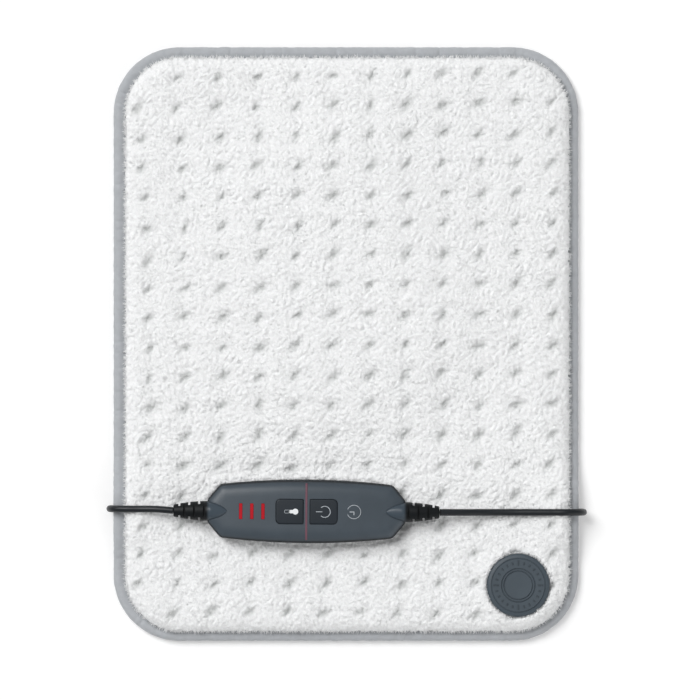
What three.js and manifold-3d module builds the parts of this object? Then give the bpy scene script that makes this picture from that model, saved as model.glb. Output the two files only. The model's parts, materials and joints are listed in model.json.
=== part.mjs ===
// Heating pad with an in-line controller: a quilted pad, a hand controller on its face,
// a pad connector in one corner and cords that wrap round the pad's edges and are stored under it.
// Millimetres. X is to the right, Y is up the pad, Z is up from the surface that the pad lies on.
import * as THREE from "three";
import { mergeVertices } from "three/addons/utils/BufferGeometryUtils.js";
import Module from "manifold-3d";

const wasm = await Module();
wasm.setup();

// General fits
const CLEARANCE = 0.3;
const OVERRUN = 5;

// Pad outline and its quilting
const PAD_WIDTH = 310;
const PAD_LENGTH = 396;
const PAD_CORNER = 44;
const TUFT_COLUMNS = 12;
const TUFT_ROWS = 19;
const TUFT_MARGIN_SIDE = 16.95;
const TUFT_MARGIN_END = 18.9;
const TUFT_PITCH_X = (PAD_WIDTH - 2 * TUFT_MARGIN_SIDE) / (TUFT_COLUMNS - 1);
const TUFT_PITCH_Y = (PAD_LENGTH - 2 * TUFT_MARGIN_END) / (TUFT_ROWS - 1);
const TUFT_SHIFT_X = 0.6;
const TUFT_SHIFT_Y = 0.3;
const SIDE_STEPS = 18;
const END_STEPS = 5;
const CORNER_STEPS = 5;

// Pad layers, as heights above the surface
const BACK_TOP = 8;
const CARRIER_THICKNESS = 0.8;
const WIRE_DIAMETER = 1.8;
const TUFT_TOP = 14.4;
const CROWN_TOP = 18;
const CARRIER_BOTTOM = BACK_TOP + CLEARANCE;
const CARRIER_TOP = CARRIER_BOTTOM + CARRIER_THICKNESS;
const WIRE_AXIS = CARRIER_TOP + CLEARANCE + WIRE_DIAMETER / 2;
const FRONT_BOTTOM = WIRE_AXIS + WIRE_DIAMETER / 2 + CLEARANCE;

// Edge binding, a tape folded round the pad's rim
const BINDING_WIDTH = 9;
const BINDING_TAPE = 0.8;
const BINDING_BOTTOM = 1;
const BINDING_TOP = 8;
const BINDING_MIDDLE = (BINDING_BOTTOM + BINDING_TOP) / 2;
const BINDING_ROUND = (BINDING_TOP - BINDING_BOTTOM) / 2;
const RIM_BOTTOM = BINDING_BOTTOM + BINDING_TAPE + CLEARANCE;
const RIM_TOP = BINDING_TOP - BINDING_TAPE - CLEARANCE;
const RIM_INSET = BINDING_ROUND + CLEARANCE / 2;
const LIP_INSET = BINDING_WIDTH + CLEARANCE;
const SHOULDER_INSET = 13.2;
const SHOULDER_TOP = 14.6;

// The pad lies over its stored cord: a low dome, and a bump where a cord goes round each side
const DOME_HEIGHT = 7.4;
const DOME_RADIUS = 34;
const DOME_FALL = 72;
const BUMP_HEIGHT = 6;
const BUMP_RADIUS = 8;
const BUMP_FALL = 32;

// Cord and its coil
const CORD_DIAMETER = 4.6;
const CORD_SIDES = 8;
const GROOVE_WIDTH = CORD_DIAMETER + 3 * CLEARANCE;
const COIL_X = -15;
const COIL_Y = 80;
const COIL_PITCH = 5.1;
const COIL_LAYER = 4.9;
const COIL_RADIUS = 17.2;
const COIL_TURNS = 8.25;
const COIL_STEPS = 24;
const COIL_SIDES = 6;
const TIE_THICKNESS = 0.8;
const TIE_WIDTH = 8;
const TIE_BOTTOM = CLEARANCE;
const COIL_AXIS = TIE_BOTTOM + TIE_THICKNESS + CLEARANCE + CORD_DIAMETER / 2;
const COIL_OUTER = COIL_RADIUS + (COIL_PITCH * COIL_TURNS) / 2;
const TIE_OUT = COIL_OUTER + CORD_DIAMETER / 2 + CLEARANCE;
const TIE_IN = COIL_RADIUS - CORD_DIAMETER / 2 - CLEARANCE;
const TIE_UP = COIL_AXIS + COIL_LAYER + CORD_DIAMETER / 2 + CLEARANCE;

// Mains plug: a flat two-pin plug, lying below the coil
const PLUG_X = -16;
const PLUG_Y = 18;
const PLUG_DEPTH = 36;
const PLUG_WIDTH = 35.3;
const PLUG_THICKNESS = 13.7;
const PLUG_AXIS = CLEARANCE + PLUG_THICKNESS / 2;
const PLUG_RELIEF = 30;
const PLUG_RELIEF_ROOT = 5;
const PLUG_RELIEF_TIP = 3.2;
const PIN_DIAMETER = 4;
const PIN_REACH = 19;
const PIN_SEAT = 6;
const PIN_SPACING = 18.6;

// Pad connector: a cap on the face, a socket behind it and the plug that goes in
const CONNECTOR_FROM_SIDE = 40.3;
const CONNECTOR_FROM_END = 37.4;
const CONNECTOR_X = PAD_WIDTH / 2 - CONNECTOR_FROM_SIDE;
const CONNECTOR_Y = CONNECTOR_FROM_END - PAD_LENGTH / 2;
const CAP_DIAMETER = 42;
const CAP_TOP = 20;
const CAP_BOTTOM = 15.4;
const HUB_DIAMETER = 24;
const SOCKET_BOTTOM = 0.6;
const SOCKET_TOP = 8.6;
const PAD_PLUG_BOTTOM = 0.9;
const PAD_PLUG_TOP = 8.3;
const PAD_PLUG_WIDTH = 22;
const PAD_PLUG_LENGTH = 24;
const PAD_PLUG_RELIEF = 12;
const PAD_NOSE_WIDTH = 15;
const PAD_NOSE_LENGTH = 11.5;
const PAD_NOSE_HEIGHT = 4.6;
const CONTACT_PITCH = 4;
const CONTACT_WIDTH = 1.6;
const CONTACT_LENGTH = 7;

// Controller case
const CASE_X = -26.3;
const CASE_Y = -111.3;
const CASE_TURN = -0.4;
const CASE_LENGTH = 131;
const CASE_WIDTH = 41.7;
const CASE_SHOULDER = 35;
const CASE_END = 14.7;
const CASE_CHAMFER = 8.3;
const CASE_BOTTOM = CROWN_TOP + CLEARANCE;
const CASE_HEIGHT = 17;
const CASE_DROP = 3.5;
const CASE_WALL = 2;
const PARTING = 8.5;

// Buttons and lights on the controller, from its middle
const TEMPERATURE_X = -11.1;
const POWER_X = 11.5;
const BUTTON_LENGTH = 18.2;
const BUTTON_WIDTH = 16.4;
const BUTTON_PROUD = 0.6;
const BUTTON_TRAVEL = 0.6;
const BUTTON_SKIRT = 1;
const BUTTON_FLANGE = 1;
const FLANGE_THICKNESS = 1.2;
const STEM_DIAMETER = 5;
const LINE_WIDTH = 1.2;
const LINE_REACH = 18.9;
const LINE_DEPTH = 0.5;
const LEVELS = 3;
const LEVEL_FROM_END = 21.9;
const LEVEL_X = LEVEL_FROM_END - CASE_LENGTH / 2;
const LEVEL_PITCH = 7.4;
const LEVEL_WIDTH = 2.2;
const LEVEL_LENGTH = 10.4;
const LEVEL_DEPTH = 3;

// Circuit board and what it carries
const BOARD_FROM_LEFT = 19.5;
const BOARD_FROM_RIGHT = 23.5;
const BOARD_LEFT = BOARD_FROM_LEFT - CASE_LENGTH / 2;
const BOARD_RIGHT = CASE_LENGTH / 2 - BOARD_FROM_RIGHT;
const BOARD_WIDTH = 26;
const BOARD_THICKNESS = 1.6;
const BOARD_BOTTOM = 5;
const BOARD_TOP = BOARD_BOTTOM + BOARD_THICKNESS;
const BOARD_POST = 4;
const BOARD_POST_FROM_END = 31.5;
const BOARD_POST_X = CASE_LENGTH / 2 - BOARD_POST_FROM_END;
const BOARD_POST_Y = 9.5;
const SWITCH_SIZE = 6;
const SWITCH_HEIGHT = 3.5;
const SWITCH_BORE = 3.6;
const SWITCH_BORE_DEPTH = 2;
const PLUNGER_DIAMETER = 3;
const PLUNGER_LENGTH = 2.4;
const SEAT = BOARD_TOP + CLEARANCE;

// Case screws
const SCREW_FROM_END = 15.5;
const SCREW_X = CASE_LENGTH / 2 - SCREW_FROM_END;
const SCREW_Y = 11;
const SCREW_SHAFT = 2.4;
const SCREW_HEAD = 5;
const SCREW_HEAD_HEIGHT = 1.8;
const SCREW_TOP = 11.4;
const BOSS_DIAMETER = 6.8;

// Strain reliefs of the controller
const BOOT_AXIS = 9;
const BOOT_LENGTH = 22.9;
const BOOT_NOSE = 12.7;
const BOOT_NOSE_RADIUS = 6.15;
const NOSE_SHARPNESS = 0.6;
const NOSE_POWER = 4;
const ROUND_POWER = 2;
const BOOT_SIDES = 16;
const BOOT_END = CASE_LENGTH / 2 + BOOT_LENGTH;
const BOOT_TIP = CASE_LENGTH / 2 - BOOT_NOSE;
const BOOT_NOSE_END = CASE_LENGTH / 2 - CASE_WALL / 2;
const BOOT_END_RADIUS = 4.4;
const BOOT_ROOT_RADIUS = 6.5;
const BOOT_SLOTS = 3;
const BOOT_SLOT_WIDTH = 1.6;
const BOOT_SLOT_PITCH = 6.6;
const BOOT_SLOT_FROM_END = 3.9;
const BOOT_CORE = 3;

// Cord routes, chosen by hand; the coil takes up the rest of the mains cord
const CONNECTING_ROUTE = [
  [62.41, -111.92, 27.3],
  [78, -112, 25.6],
  [94, -112, 22.7],
  [110, -112, 21.9],
  [124, -112, 22.5],
  [137, -112, 23.1],
  [147.75, -112, 23.3],
  [155.17, -112, 20.22],
  [158.25, -112, 12.8],
  [155.17, -112, 5.6],
  [147.75, -112, 2.75],
  [128, -112, 2.4],
  [103, -112, 2.4],
  [78, -112, 2.4],
  [53, -112, 2.4],
  [28, -112, 2.4],
  [3, -112, 2.4],
  [-22, -112, 2.4],
  [-46, -112.5, 2.4],
  [-65, -118, 2.4],
  [-76, -134, 2.4],
  [-68, -152, 2.4],
  [-50, -160, 2.4],
  [-26, -160.6, 2.4],
  [-1, -160.6, 2.4],
  [24, -160.6, 2.8],
  [43, -160.6, 4.3],
  [56.4, -160.6, 4.6],
];
const MAINS_ROUTE = [
  [-115.01, -110.68, 27.3],
  [-126, -110.7, 26.2],
  [-137, -110.7, 24.4],
  [-147.75, -110.7, 23.3],
  [-155.17, -110.7, 20.22],
  [-158.25, -110.7, 12.8],
  [-155.17, -110.7, 5.6],
  [-147.75, -110.7, 2.75],
  [-128, -110.5, 2.4],
  [-107, -107, 2.4],
  [-84, -96, 2.4],
  [-66, -76, 2.4],
  [-57, -52, 2.4],
  [-54, -28, 2.4],
  [-53.24, -4, 2.4],
  [-53.24, 20, 2.4],
  [-53.24, 44, 2.8],
  [-53.24, 60, 3.4],
  [-53.24, 70, 3.65],
  [-53.24, 75.1, 3.7],
];
const TAIL_ROUTE = [
  [-10.1, 118.24, 8.6],
  [8, 117, 8.2],
  [28, 110, 7.2],
  [47, 96, 6],
  [61, 76, 5],
  [67, 54, 5],
  [67, 36, 6],
  [62, 24, 6.7],
  [55.5, 18.3, 7.1],
  [50.3, 18, 7.15],
];

// Solids

function solidFrom(geometry) {
  const plain = geometry.clone();
  for (const name of Object.keys(plain.attributes)) {
    if (name !== "position") {
      plain.deleteAttribute(name);
    }
  }
  const merged = mergeVertices(plain, 1e-4);
  return new wasm.Manifold(
    new wasm.Mesh({
      numProp: 3,
      vertProperties: merged.attributes.position.array,
      triVerts: new Uint32Array(merged.index.array),
    }),
  );
}

function geometryFrom(solid) {
  const mesh = solid.getMesh();
  const geometry = new THREE.BufferGeometry();
  geometry.setAttribute("position", new THREE.BufferAttribute(mesh.vertProperties, 3));
  geometry.setIndex(new THREE.BufferAttribute(mesh.triVerts, 1));
  return geometry;
}

function cut(base, ...cutters) {
  return geometryFrom(cutters.reduce((left, tool) => left.subtract(solidFrom(tool)), solidFrom(base)));
}

function join(base, ...pieces) {
  return geometryFrom(pieces.reduce((left, piece) => left.add(solidFrom(piece)), solidFrom(base)));
}

function common(one, other) {
  return geometryFrom(solidFrom(one).intersect(solidFrom(other)));
}

function box(x0, x1, y0, y1, z0, z1) {
  const geometry = new THREE.BoxGeometry(x1 - x0, y1 - y0, z1 - z0);
  return geometry.translate((x0 + x1) / 2, (y0 + y1) / 2, (z0 + z1) / 2);
}

// An upright cylinder from z0 to z1
function post(diameter, x, y, z0, z1, sides = 12) {
  const geometry = new THREE.CylinderGeometry(diameter / 2, diameter / 2, z1 - z0, sides);
  return geometry.rotateX(Math.PI / 2).translate(x, y, (z0 + z1) / 2);
}

// A cylinder along X from x0 to x1
function rod(diameter, x0, x1, y, z, sides = 12) {
  const geometry = new THREE.CylinderGeometry(diameter / 2, diameter / 2, x1 - x0, sides);
  return geometry.rotateZ(Math.PI / 2).translate((x0 + x1) / 2, y, z);
}

// A turned piece from points of radius and height, standing on Z
function turned(points, sides) {
  const profile = points.map(([radius, height]) => new THREE.Vector2(radius, height));
  return new THREE.LatheGeometry(profile, sides).rotateX(Math.PI / 2);
}

// Rings of points joined one to the next, with a flat fan at each end or closed on themselves
function skinned(rings, closed = false) {
  const count = rings[0].length;
  const positions = rings.flat();
  const index = [];
  const last = closed ? rings.length : rings.length - 1;
  for (let k = 0; k < last; k += 1) {
    const low = k * count;
    const high = ((k + 1) % rings.length) * count;
    for (let i = 0; i < count; i += 1) {
      const j = (i + 1) % count;
      index.push(low + i, low + j, high + j, low + i, high + j, high + i);
    }
  }
  if (!closed) {
    const top = (rings.length - 1) * count;
    for (let i = 1; i < count - 1; i += 1) {
      index.push(0, i + 1, i);
      index.push(top, top + i, top + i + 1);
    }
  }
  const geometry = new THREE.BufferGeometry();
  geometry.setAttribute("position", new THREE.Float32BufferAttribute(positions.flat(), 3));
  geometry.setIndex(index);
  return geometry;
}

// A route of points whose steps are shared evenly among its stretches
class Route extends THREE.CatmullRomCurve3 {
  getPointAt(share, target) {
    return this.getPoint(share, target);
  }
  getTangentAt(share, target) {
    return this.getTangent(share, target);
  }
}

function routeThrough(points) {
  return new Route(points.map((point) => new THREE.Vector3(...point)), false, "centripetal");
}

function along(points, section, stepsPerStretch) {
  return new THREE.ExtrudeGeometry(section, {
    extrudePath: routeThrough(points),
    steps: stepsPerStretch * (points.length - 1),
    bevelEnabled: false,
  });
}

function roundSection(diameter, sides) {
  const shape = new THREE.Shape();
  for (let i = 0; i < sides; i += 1) {
    const angle = (2 * Math.PI * (i + 0.5)) / sides;
    const point = [(Math.cos(angle) * diameter) / 2, (Math.sin(angle) * diameter) / 2];
    if (i === 0) {
      shape.moveTo(...point);
    } else {
      shape.lineTo(...point);
    }
  }
  shape.closePath();
  return shape;
}

// Height of the pad above the surface where it lies over the stored cord

function easing(distance, radius, fall) {
  const share = Math.min(Math.max((distance - radius) / fall, 0), 1);
  return (1 + Math.cos(Math.PI * share)) / 2;
}

const DOME_START = new THREE.Vector2(COIL_X, COIL_Y);
const DOME_END = new THREE.Vector2(PLUG_X + (2 * PLUG_DEPTH) / 3, PLUG_Y);
const LEFT_BUMP = new THREE.Vector2(-PAD_WIDTH / 2, MAINS_ROUTE[4][1]);
const RIGHT_BUMP = new THREE.Vector2(PAD_WIDTH / 2, CONNECTING_ROUTE[7][1]);

function lift(x, y) {
  const here = new THREE.Vector2(x, y);
  const spine = DOME_END.clone().sub(DOME_START);
  const share = THREE.MathUtils.clamp(here.clone().sub(DOME_START).dot(spine) / spine.lengthSq(), 0, 1);
  const nearest = DOME_START.clone().addScaledVector(spine, share);
  const dome = DOME_HEIGHT * easing(here.distanceTo(nearest), DOME_RADIUS, DOME_FALL);
  const left = BUMP_HEIGHT * easing(here.distanceTo(LEFT_BUMP), BUMP_RADIUS, BUMP_FALL);
  const right = BUMP_HEIGHT * easing(here.distanceTo(RIGHT_BUMP), BUMP_RADIUS, BUMP_FALL);
  return dome + left + right;
}

// The pad's outline, drawn in by an inset, as points that keep their place from one inset to the next
function padRing(inset) {
  const corner = PAD_CORNER - inset;
  const straightX = PAD_WIDTH / 2 - PAD_CORNER;
  const straightY = PAD_LENGTH / 2 - PAD_CORNER;
  const points = [];
  const turns = [
    [straightX, -straightY, -Math.PI / 2, SIDE_STEPS],
    [straightX, straightY, 0, END_STEPS],
    [-straightX, straightY, Math.PI / 2, SIDE_STEPS],
    [-straightX, -straightY, Math.PI, END_STEPS],
  ];
  turns.forEach(([x, y, start, steps], turn) => {
    for (let i = 0; i <= CORNER_STEPS; i += 1) {
      const angle = start + (Math.PI / 2) * (i / CORNER_STEPS);
      points.push([x + corner * Math.cos(angle), y + corner * Math.sin(angle)]);
    }
    const from = points[points.length - 1];
    const [nextX, nextY, nextStart] = turns[(turn + 1) % turns.length];
    const to = [nextX + corner * Math.cos(nextStart), nextY + corner * Math.sin(nextStart)];
    for (let i = 1; i < steps; i += 1) {
      const share = i / steps;
      points.push([from[0] + (to[0] - from[0]) * share, from[1] + (to[1] - from[1]) * share]);
    }
  });
  return points;
}

// Tuft places on their grid; the four corner places fall in the binding and are left out

function tuftPlace(column, row) {
  const x = TUFT_SHIFT_X + (column - (TUFT_COLUMNS - 1) / 2) * TUFT_PITCH_X;
  const y = TUFT_SHIFT_Y + (row - (TUFT_ROWS - 1) / 2) * TUFT_PITCH_Y;
  return [x, y];
}

function isCorner(column, row) {
  const atSide = column === 0 || column === TUFT_COLUMNS - 1;
  const atEnd = row === 0 || row === TUFT_ROWS - 1;
  return atSide && atEnd;
}

// One surface of a pad layer as points and triangles that face up.
// Heights are given for the rings from the rim inwards, the tufts and, where wanted, the cell middles.
function padSurface(insets, ringHeights, tuftHeight, crownHeight) {
  const points = [];
  const triangles = [];
  const add = (x, y, height) => points.push([x, y, height + lift(x, y)]) - 1;
  const rings = insets.map((inset, k) => padRing(inset).map(([x, y]) => add(x, y, ringHeights[k])));
  for (let k = 0; k + 1 < rings.length; k += 1) {
    const outer = rings[k];
    const inner = rings[k + 1];
    outer.forEach((corner, i) => {
      const j = (i + 1) % outer.length;
      triangles.push([corner, outer[j], inner[j]], [corner, inner[j], inner[i]]);
    });
  }

  const tufts = new Map();
  for (let row = 0; row < TUFT_ROWS; row += 1) {
    for (let column = 0; column < TUFT_COLUMNS; column += 1) {
      if (!isCorner(column, row)) {
        tufts.set(row * TUFT_COLUMNS + column, add(...tuftPlace(column, row), tuftHeight));
      }
    }
  }
  const tuft = (column, row) => tufts.get(row * TUFT_COLUMNS + column);
  for (let row = 0; row + 1 < TUFT_ROWS; row += 1) {
    for (let column = 0; column + 1 < TUFT_COLUMNS; column += 1) {
      const cell = [
        tuft(column, row),
        tuft(column + 1, row),
        tuft(column + 1, row + 1),
        tuft(column, row + 1),
      ].filter((corner) => corner !== undefined);
      if (crownHeight !== undefined && cell.length === 4) {
        const [x, y] = tuftPlace(column + 0.5, row + 0.5);
        const middle = add(x, y, crownHeight);
        cell.forEach((corner, i) => triangles.push([corner, cell[(i + 1) % 4], middle]));
      } else if (cell.length === 4) {
        triangles.push([cell[0], cell[1], cell[2]], [cell[0], cell[2], cell[3]]);
      } else {
        triangles.push(cell);
      }
    }
  }

  const border = [];
  for (let column = 1; column + 1 < TUFT_COLUMNS; column += 1) {
    border.push(tuft(column, 0));
  }
  for (let row = 1; row + 1 < TUFT_ROWS; row += 1) {
    border.push(tuft(TUFT_COLUMNS - 1, row));
  }
  for (let column = TUFT_COLUMNS - 2; column > 0; column -= 1) {
    border.push(tuft(column, TUFT_ROWS - 1));
  }
  for (let row = TUFT_ROWS - 2; row > 0; row -= 1) {
    border.push(tuft(0, row));
  }
  let rim = border;
  if (rings.length) {
    const inner = rings[rings.length - 1];
    const flat = (corner) => new THREE.Vector2(points[corner][0], points[corner][1]);
    const corners = [...inner, ...border];
    for (const face of THREE.ShapeUtils.triangulateShape(inner.map(flat), [border.map(flat)])) {
      triangles.push(face.map((corner) => corners[corner]));
    }
    rim = rings[0];
  }
  return { points, triangles, rim };
}

// A closed layer between two surfaces that share their rim's outline
function padLayer(upper, lower) {
  const offset = upper.points.length;
  const index = [...upper.triangles.flat()];
  for (const [a, b, c] of lower.triangles) {
    index.push(offset + a, offset + c, offset + b);
  }
  upper.rim.forEach((corner, i) => {
    const j = (i + 1) % upper.rim.length;
    const below = offset + lower.rim[i];
    const belowNext = offset + lower.rim[j];
    index.push(below, belowNext, upper.rim[j], below, upper.rim[j], corner);
  });
  const geometry = new THREE.BufferGeometry();
  const positions = [...upper.points, ...lower.points].flat();
  geometry.setAttribute("position", new THREE.Float32BufferAttribute(positions, 3));
  geometry.setIndex(index);
  return geometry;
}

const INSETS = [RIM_INSET, LIP_INSET, SHOULDER_INSET];

// Pad

function frontCover() {
  const split = BINDING_MIDDLE + CLEARANCE / 2;
  const upper = padSurface(INSETS, [RIM_TOP, RIM_TOP, SHOULDER_TOP], TUFT_TOP, CROWN_TOP);
  const lower = padSurface(INSETS, [split, split, BACK_TOP], FRONT_BOTTOM);
  const recess = post(
    CAP_DIAMETER + 2 * CLEARANCE,
    CONNECTOR_X,
    CONNECTOR_Y,
    CAP_BOTTOM - CLEARANCE,
    CAP_TOP + OVERRUN,
    24,
  );
  const hubHole = post(HUB_DIAMETER + 2 * CLEARANCE, CONNECTOR_X, CONNECTOR_Y, 0, CAP_TOP, 24);
  const socketRoom = post(
    CAP_DIAMETER + 2 * CLEARANCE,
    CONNECTOR_X,
    CONNECTOR_Y,
    0,
    SOCKET_TOP + CLEARANCE,
    24,
  );
  return cut(padLayer(upper, lower), recess, hubHole, socketRoom);
}

function heatingCarrier() {
  const upper = padSurface([], [], CARRIER_TOP);
  const lower = padSurface([], [], CARRIER_BOTTOM);
  const hole = post(CAP_DIAMETER + 2 * CLEARANCE, CONNECTOR_X, CONNECTOR_Y, 0, CAP_TOP, 24);
  const slot = box(
    CONNECTOR_X - CAP_DIAMETER / 2 - PAD_PLUG_LENGTH - PAD_PLUG_RELIEF,
    CONNECTOR_X,
    CONNECTOR_Y - PAD_PLUG_WIDTH / 2 - CLEARANCE,
    CONNECTOR_Y + PAD_PLUG_WIDTH / 2 + CLEARANCE,
    0,
    CAP_TOP,
  );
  return cut(padLayer(upper, lower), hole, slot);
}

// A groove that a stored cord lies in, open to the surface below
function groove(route) {
  const deep = CORD_DIAMETER / 2 + CLEARANCE;
  const points = routeThrough(route).getPoints(2 * (route.length - 1));
  const rings = points.map(({ x, y, z }, i) => {
    const before = points[Math.max(i - 1, 0)];
    const after = points[Math.min(i + 1, points.length - 1)];
    const way = new THREE.Vector2(after.x - before.x, after.y - before.y).normalize();
    const side = [(-way.y * GROOVE_WIDTH) / 2, (way.x * GROOVE_WIDTH) / 2];
    return [
      [x - side[0], y - side[1], -OVERRUN],
      [x + side[0], y + side[1], -OVERRUN],
      [x + side[0], y + side[1], z + deep],
      [x - side[0], y - side[1], z + deep],
    ];
  });
  return skinned(rings);
}

function backCover() {
  const split = BINDING_MIDDLE - CLEARANCE / 2;
  const upper = padSurface(INSETS, [split, split, BACK_TOP - CLEARANCE], BACK_TOP);
  const lower = padSurface(INSETS, [RIM_BOTTOM, RIM_BOTTOM, 0], 0);
  const hole = post(CAP_DIAMETER + 2 * CLEARANCE, CONNECTOR_X, CONNECTOR_Y, -OVERRUN, CAP_TOP, 24);
  const slot = box(
    CONNECTOR_X - CAP_DIAMETER / 2 - PAD_PLUG_LENGTH - PAD_PLUG_RELIEF - OVERRUN,
    CONNECTOR_X,
    CONNECTOR_Y - PAD_PLUG_WIDTH / 2 - CLEARANCE,
    CONNECTOR_Y + PAD_PLUG_WIDTH / 2 + CLEARANCE,
    -OVERRUN,
    CAP_TOP,
  );
  const coilPocket = post(2 * TIE_OUT + 4 * TIE_THICKNESS, COIL_X, COIL_Y, -OVERRUN, TIE_UP + 2 * TIE_THICKNESS, 24);
  const plugPocket = box(
    PLUG_X - PIN_REACH - OVERRUN,
    PLUG_X + PLUG_DEPTH + PLUG_RELIEF + CORD_DIAMETER,
    PLUG_Y - PLUG_WIDTH / 2 - CLEARANCE,
    PLUG_Y + PLUG_WIDTH / 2 + CLEARANCE,
    -OVERRUN,
    CLEARANCE + PLUG_THICKNESS + CLEARANCE,
  );
  const underRight = CONNECTING_ROUTE.slice(10);
  const underLeft = MAINS_ROUTE.slice(7);
  return cut(
    padLayer(upper, lower),
    hole,
    slot,
    coilPocket,
    plugPocket,
    groove(underRight),
    groove(underLeft),
    groove(TAIL_ROUTE),
  );
}

function edgeBinding() {
  const slope = BINDING_ROUND * Math.SQRT1_2;
  const channel = BINDING_ROUND - BINDING_TAPE;
  const section = [
    [BINDING_WIDTH, BINDING_BOTTOM],
    [BINDING_ROUND, BINDING_BOTTOM],
    [BINDING_ROUND - slope, BINDING_MIDDLE - slope],
    [0, BINDING_MIDDLE],
    [BINDING_ROUND - slope, BINDING_MIDDLE + slope],
    [BINDING_ROUND, BINDING_TOP],
    [BINDING_WIDTH, BINDING_TOP],
    [BINDING_WIDTH, BINDING_TOP - BINDING_TAPE],
    [BINDING_ROUND, BINDING_TOP - BINDING_TAPE],
    [BINDING_ROUND - channel, BINDING_MIDDLE],
    [BINDING_ROUND, BINDING_BOTTOM + BINDING_TAPE],
    [BINDING_WIDTH, BINDING_BOTTOM + BINDING_TAPE],
  ];
  const stations = section.map(([inset, height]) =>
    padRing(inset).map(([x, y]) => [x, y, height + lift(x, y)]),
  );
  const rings = stations[0].map((_, i) => stations.map((station) => station[i]).reverse());
  return skinned(rings, true);
}

// One unbroken wire on the tuft grid: up the right side from the connector, to and fro down the pad and back
function heatingWire() {
  const half = (HUB_DIAMETER + WIRE_DIAMETER) / 2 + CLEARANCE;
  const points = [];
  const at = (x, y) => points.push([x, y, WIRE_AXIS + lift(x, y)]);
  const returnColumn = TUFT_COLUMNS - 2;
  const lastColumn = returnColumn - 1;
  const topRow = TUFT_ROWS - 2;
  at(tuftPlace(returnColumn, 0)[0], CONNECTOR_Y + half);
  for (let row = 2; row <= topRow; row += 1) {
    at(...tuftPlace(returnColumn, row));
  }
  let toLeft = true;
  for (let row = topRow; row > 2; row -= 2) {
    for (let k = 1; k <= lastColumn; k += 1) {
      at(...tuftPlace(toLeft ? lastColumn + 1 - k : k, row));
    }
    at(...tuftPlace(toLeft ? 1 : lastColumn, row - 1));
    toLeft = !toLeft;
  }
  at(CONNECTOR_X - half, CONNECTOR_Y);
  const rings = points.map(([x, y, z], i) => {
    const here = new THREE.Vector2(x, y);
    const before = points[Math.max(i - 1, 0)];
    const after = points[Math.min(i + 1, points.length - 1)];
    const into = here.clone().sub(new THREE.Vector2(before[0], before[1])).normalize();
    const out = new THREE.Vector2(after[0], after[1]).sub(here).normalize();
    const way = into.add(out).normalize();
    const ring = [];
    for (let k = 0; k < 4; k += 1) {
      const angle = (Math.PI / 2) * k;
      const across = (Math.cos(angle) * WIRE_DIAMETER) / 2;
      const up = (Math.sin(angle) * WIRE_DIAMETER) / 2;
      ring.push([x - way.y * across, y + way.x * across, z + up]);
    }
    return ring;
  });
  return skinned(rings);
}

function thermalCutout() {
  const x = CONNECTOR_X - 2 * TUFT_PITCH_X;
  const y = CONNECTOR_Y;
  const length = 10;
  const width = 4;
  return box(
    x - length / 2,
    x + length / 2,
    y + TUFT_PITCH_Y - width / 2,
    y + TUFT_PITCH_Y + width / 2,
    CARRIER_TOP + CLEARANCE,
    FRONT_BOTTOM - CLEARANCE,
  );
}

// Pad connector

function connectorCap() {
  const radius = CAP_DIAMETER / 2;
  const step = 18.4;
  const ringOut = 11.1;
  const ringIn = 9.6;
  const ledge = 0.7;
  const mark = 0.4;
  const profile = [
    [0, SOCKET_TOP + CLEARANCE],
    [HUB_DIAMETER / 2, SOCKET_TOP + CLEARANCE],
    [HUB_DIAMETER / 2, CAP_BOTTOM],
    [radius, CAP_BOTTOM],
    [radius, CAP_TOP - 2 * ledge],
    [step, CAP_TOP - ledge],
    [step, CAP_TOP],
    [ringOut, CAP_TOP],
    [ringOut, CAP_TOP - mark],
    [ringIn, CAP_TOP - mark],
    [ringIn, CAP_TOP],
    [0, CAP_TOP],
  ];
  const body = turned(profile, 24).translate(CONNECTOR_X, CONNECTOR_Y, 0);
  const bores = connectorScrewPlaces().map(([x, y]) =>
    post(SCREW_SHAFT + 2 * CLEARANCE, x, y, 0, CAP_BOTTOM + CLEARANCE, 8),
  );
  return cut(body, ...bores);
}

function connectorScrewPlaces() {
  const reach = HUB_DIAMETER / 2 - SCREW_HEAD / 2;
  return [-1, 1].map((side) => [CONNECTOR_X + reach / 3, CONNECTOR_Y + side * reach]);
}

const NOSE_MIDDLE = (PAD_PLUG_BOTTOM + PAD_PLUG_TOP) / 2;
const SOCKET_FACE = CONNECTOR_X - CAP_DIAMETER / 2;
const PLUG_SEAT = SOCKET_FACE - CLEARANCE;

function connectorSocket() {
  const body = post(CAP_DIAMETER, CONNECTOR_X, CONNECTOR_Y, SOCKET_BOTTOM, SOCKET_TOP, 24);
  const mouth = box(
    SOCKET_FACE - OVERRUN,
    SOCKET_FACE + PAD_NOSE_LENGTH + CLEARANCE,
    CONNECTOR_Y - PAD_NOSE_WIDTH / 2 - CLEARANCE,
    CONNECTOR_Y + PAD_NOSE_WIDTH / 2 + CLEARANCE,
    NOSE_MIDDLE - PAD_NOSE_HEIGHT / 2 - CLEARANCE,
    NOSE_MIDDLE + PAD_NOSE_HEIGHT / 2 + CLEARANCE,
  );
  const face = box(
    SOCKET_FACE - OVERRUN,
    SOCKET_FACE + CORD_DIAMETER / 2,
    CONNECTOR_Y - PAD_PLUG_WIDTH / 2 - CLEARANCE,
    CONNECTOR_Y + PAD_PLUG_WIDTH / 2 + CLEARANCE,
    0,
    SOCKET_TOP + OVERRUN,
  );
  const bores = connectorScrewPlaces().flatMap(([x, y]) => [
    post(SCREW_SHAFT + 2 * CLEARANCE, x, y, 0, SOCKET_TOP + OVERRUN, 8),
    post(SCREW_HEAD + 2 * CLEARANCE, x, y, 0, SOCKET_BOTTOM + SCREW_HEAD_HEIGHT + CLEARANCE, 8),
  ]);
  return cut(body, face, mouth, ...bores);
}

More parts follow.
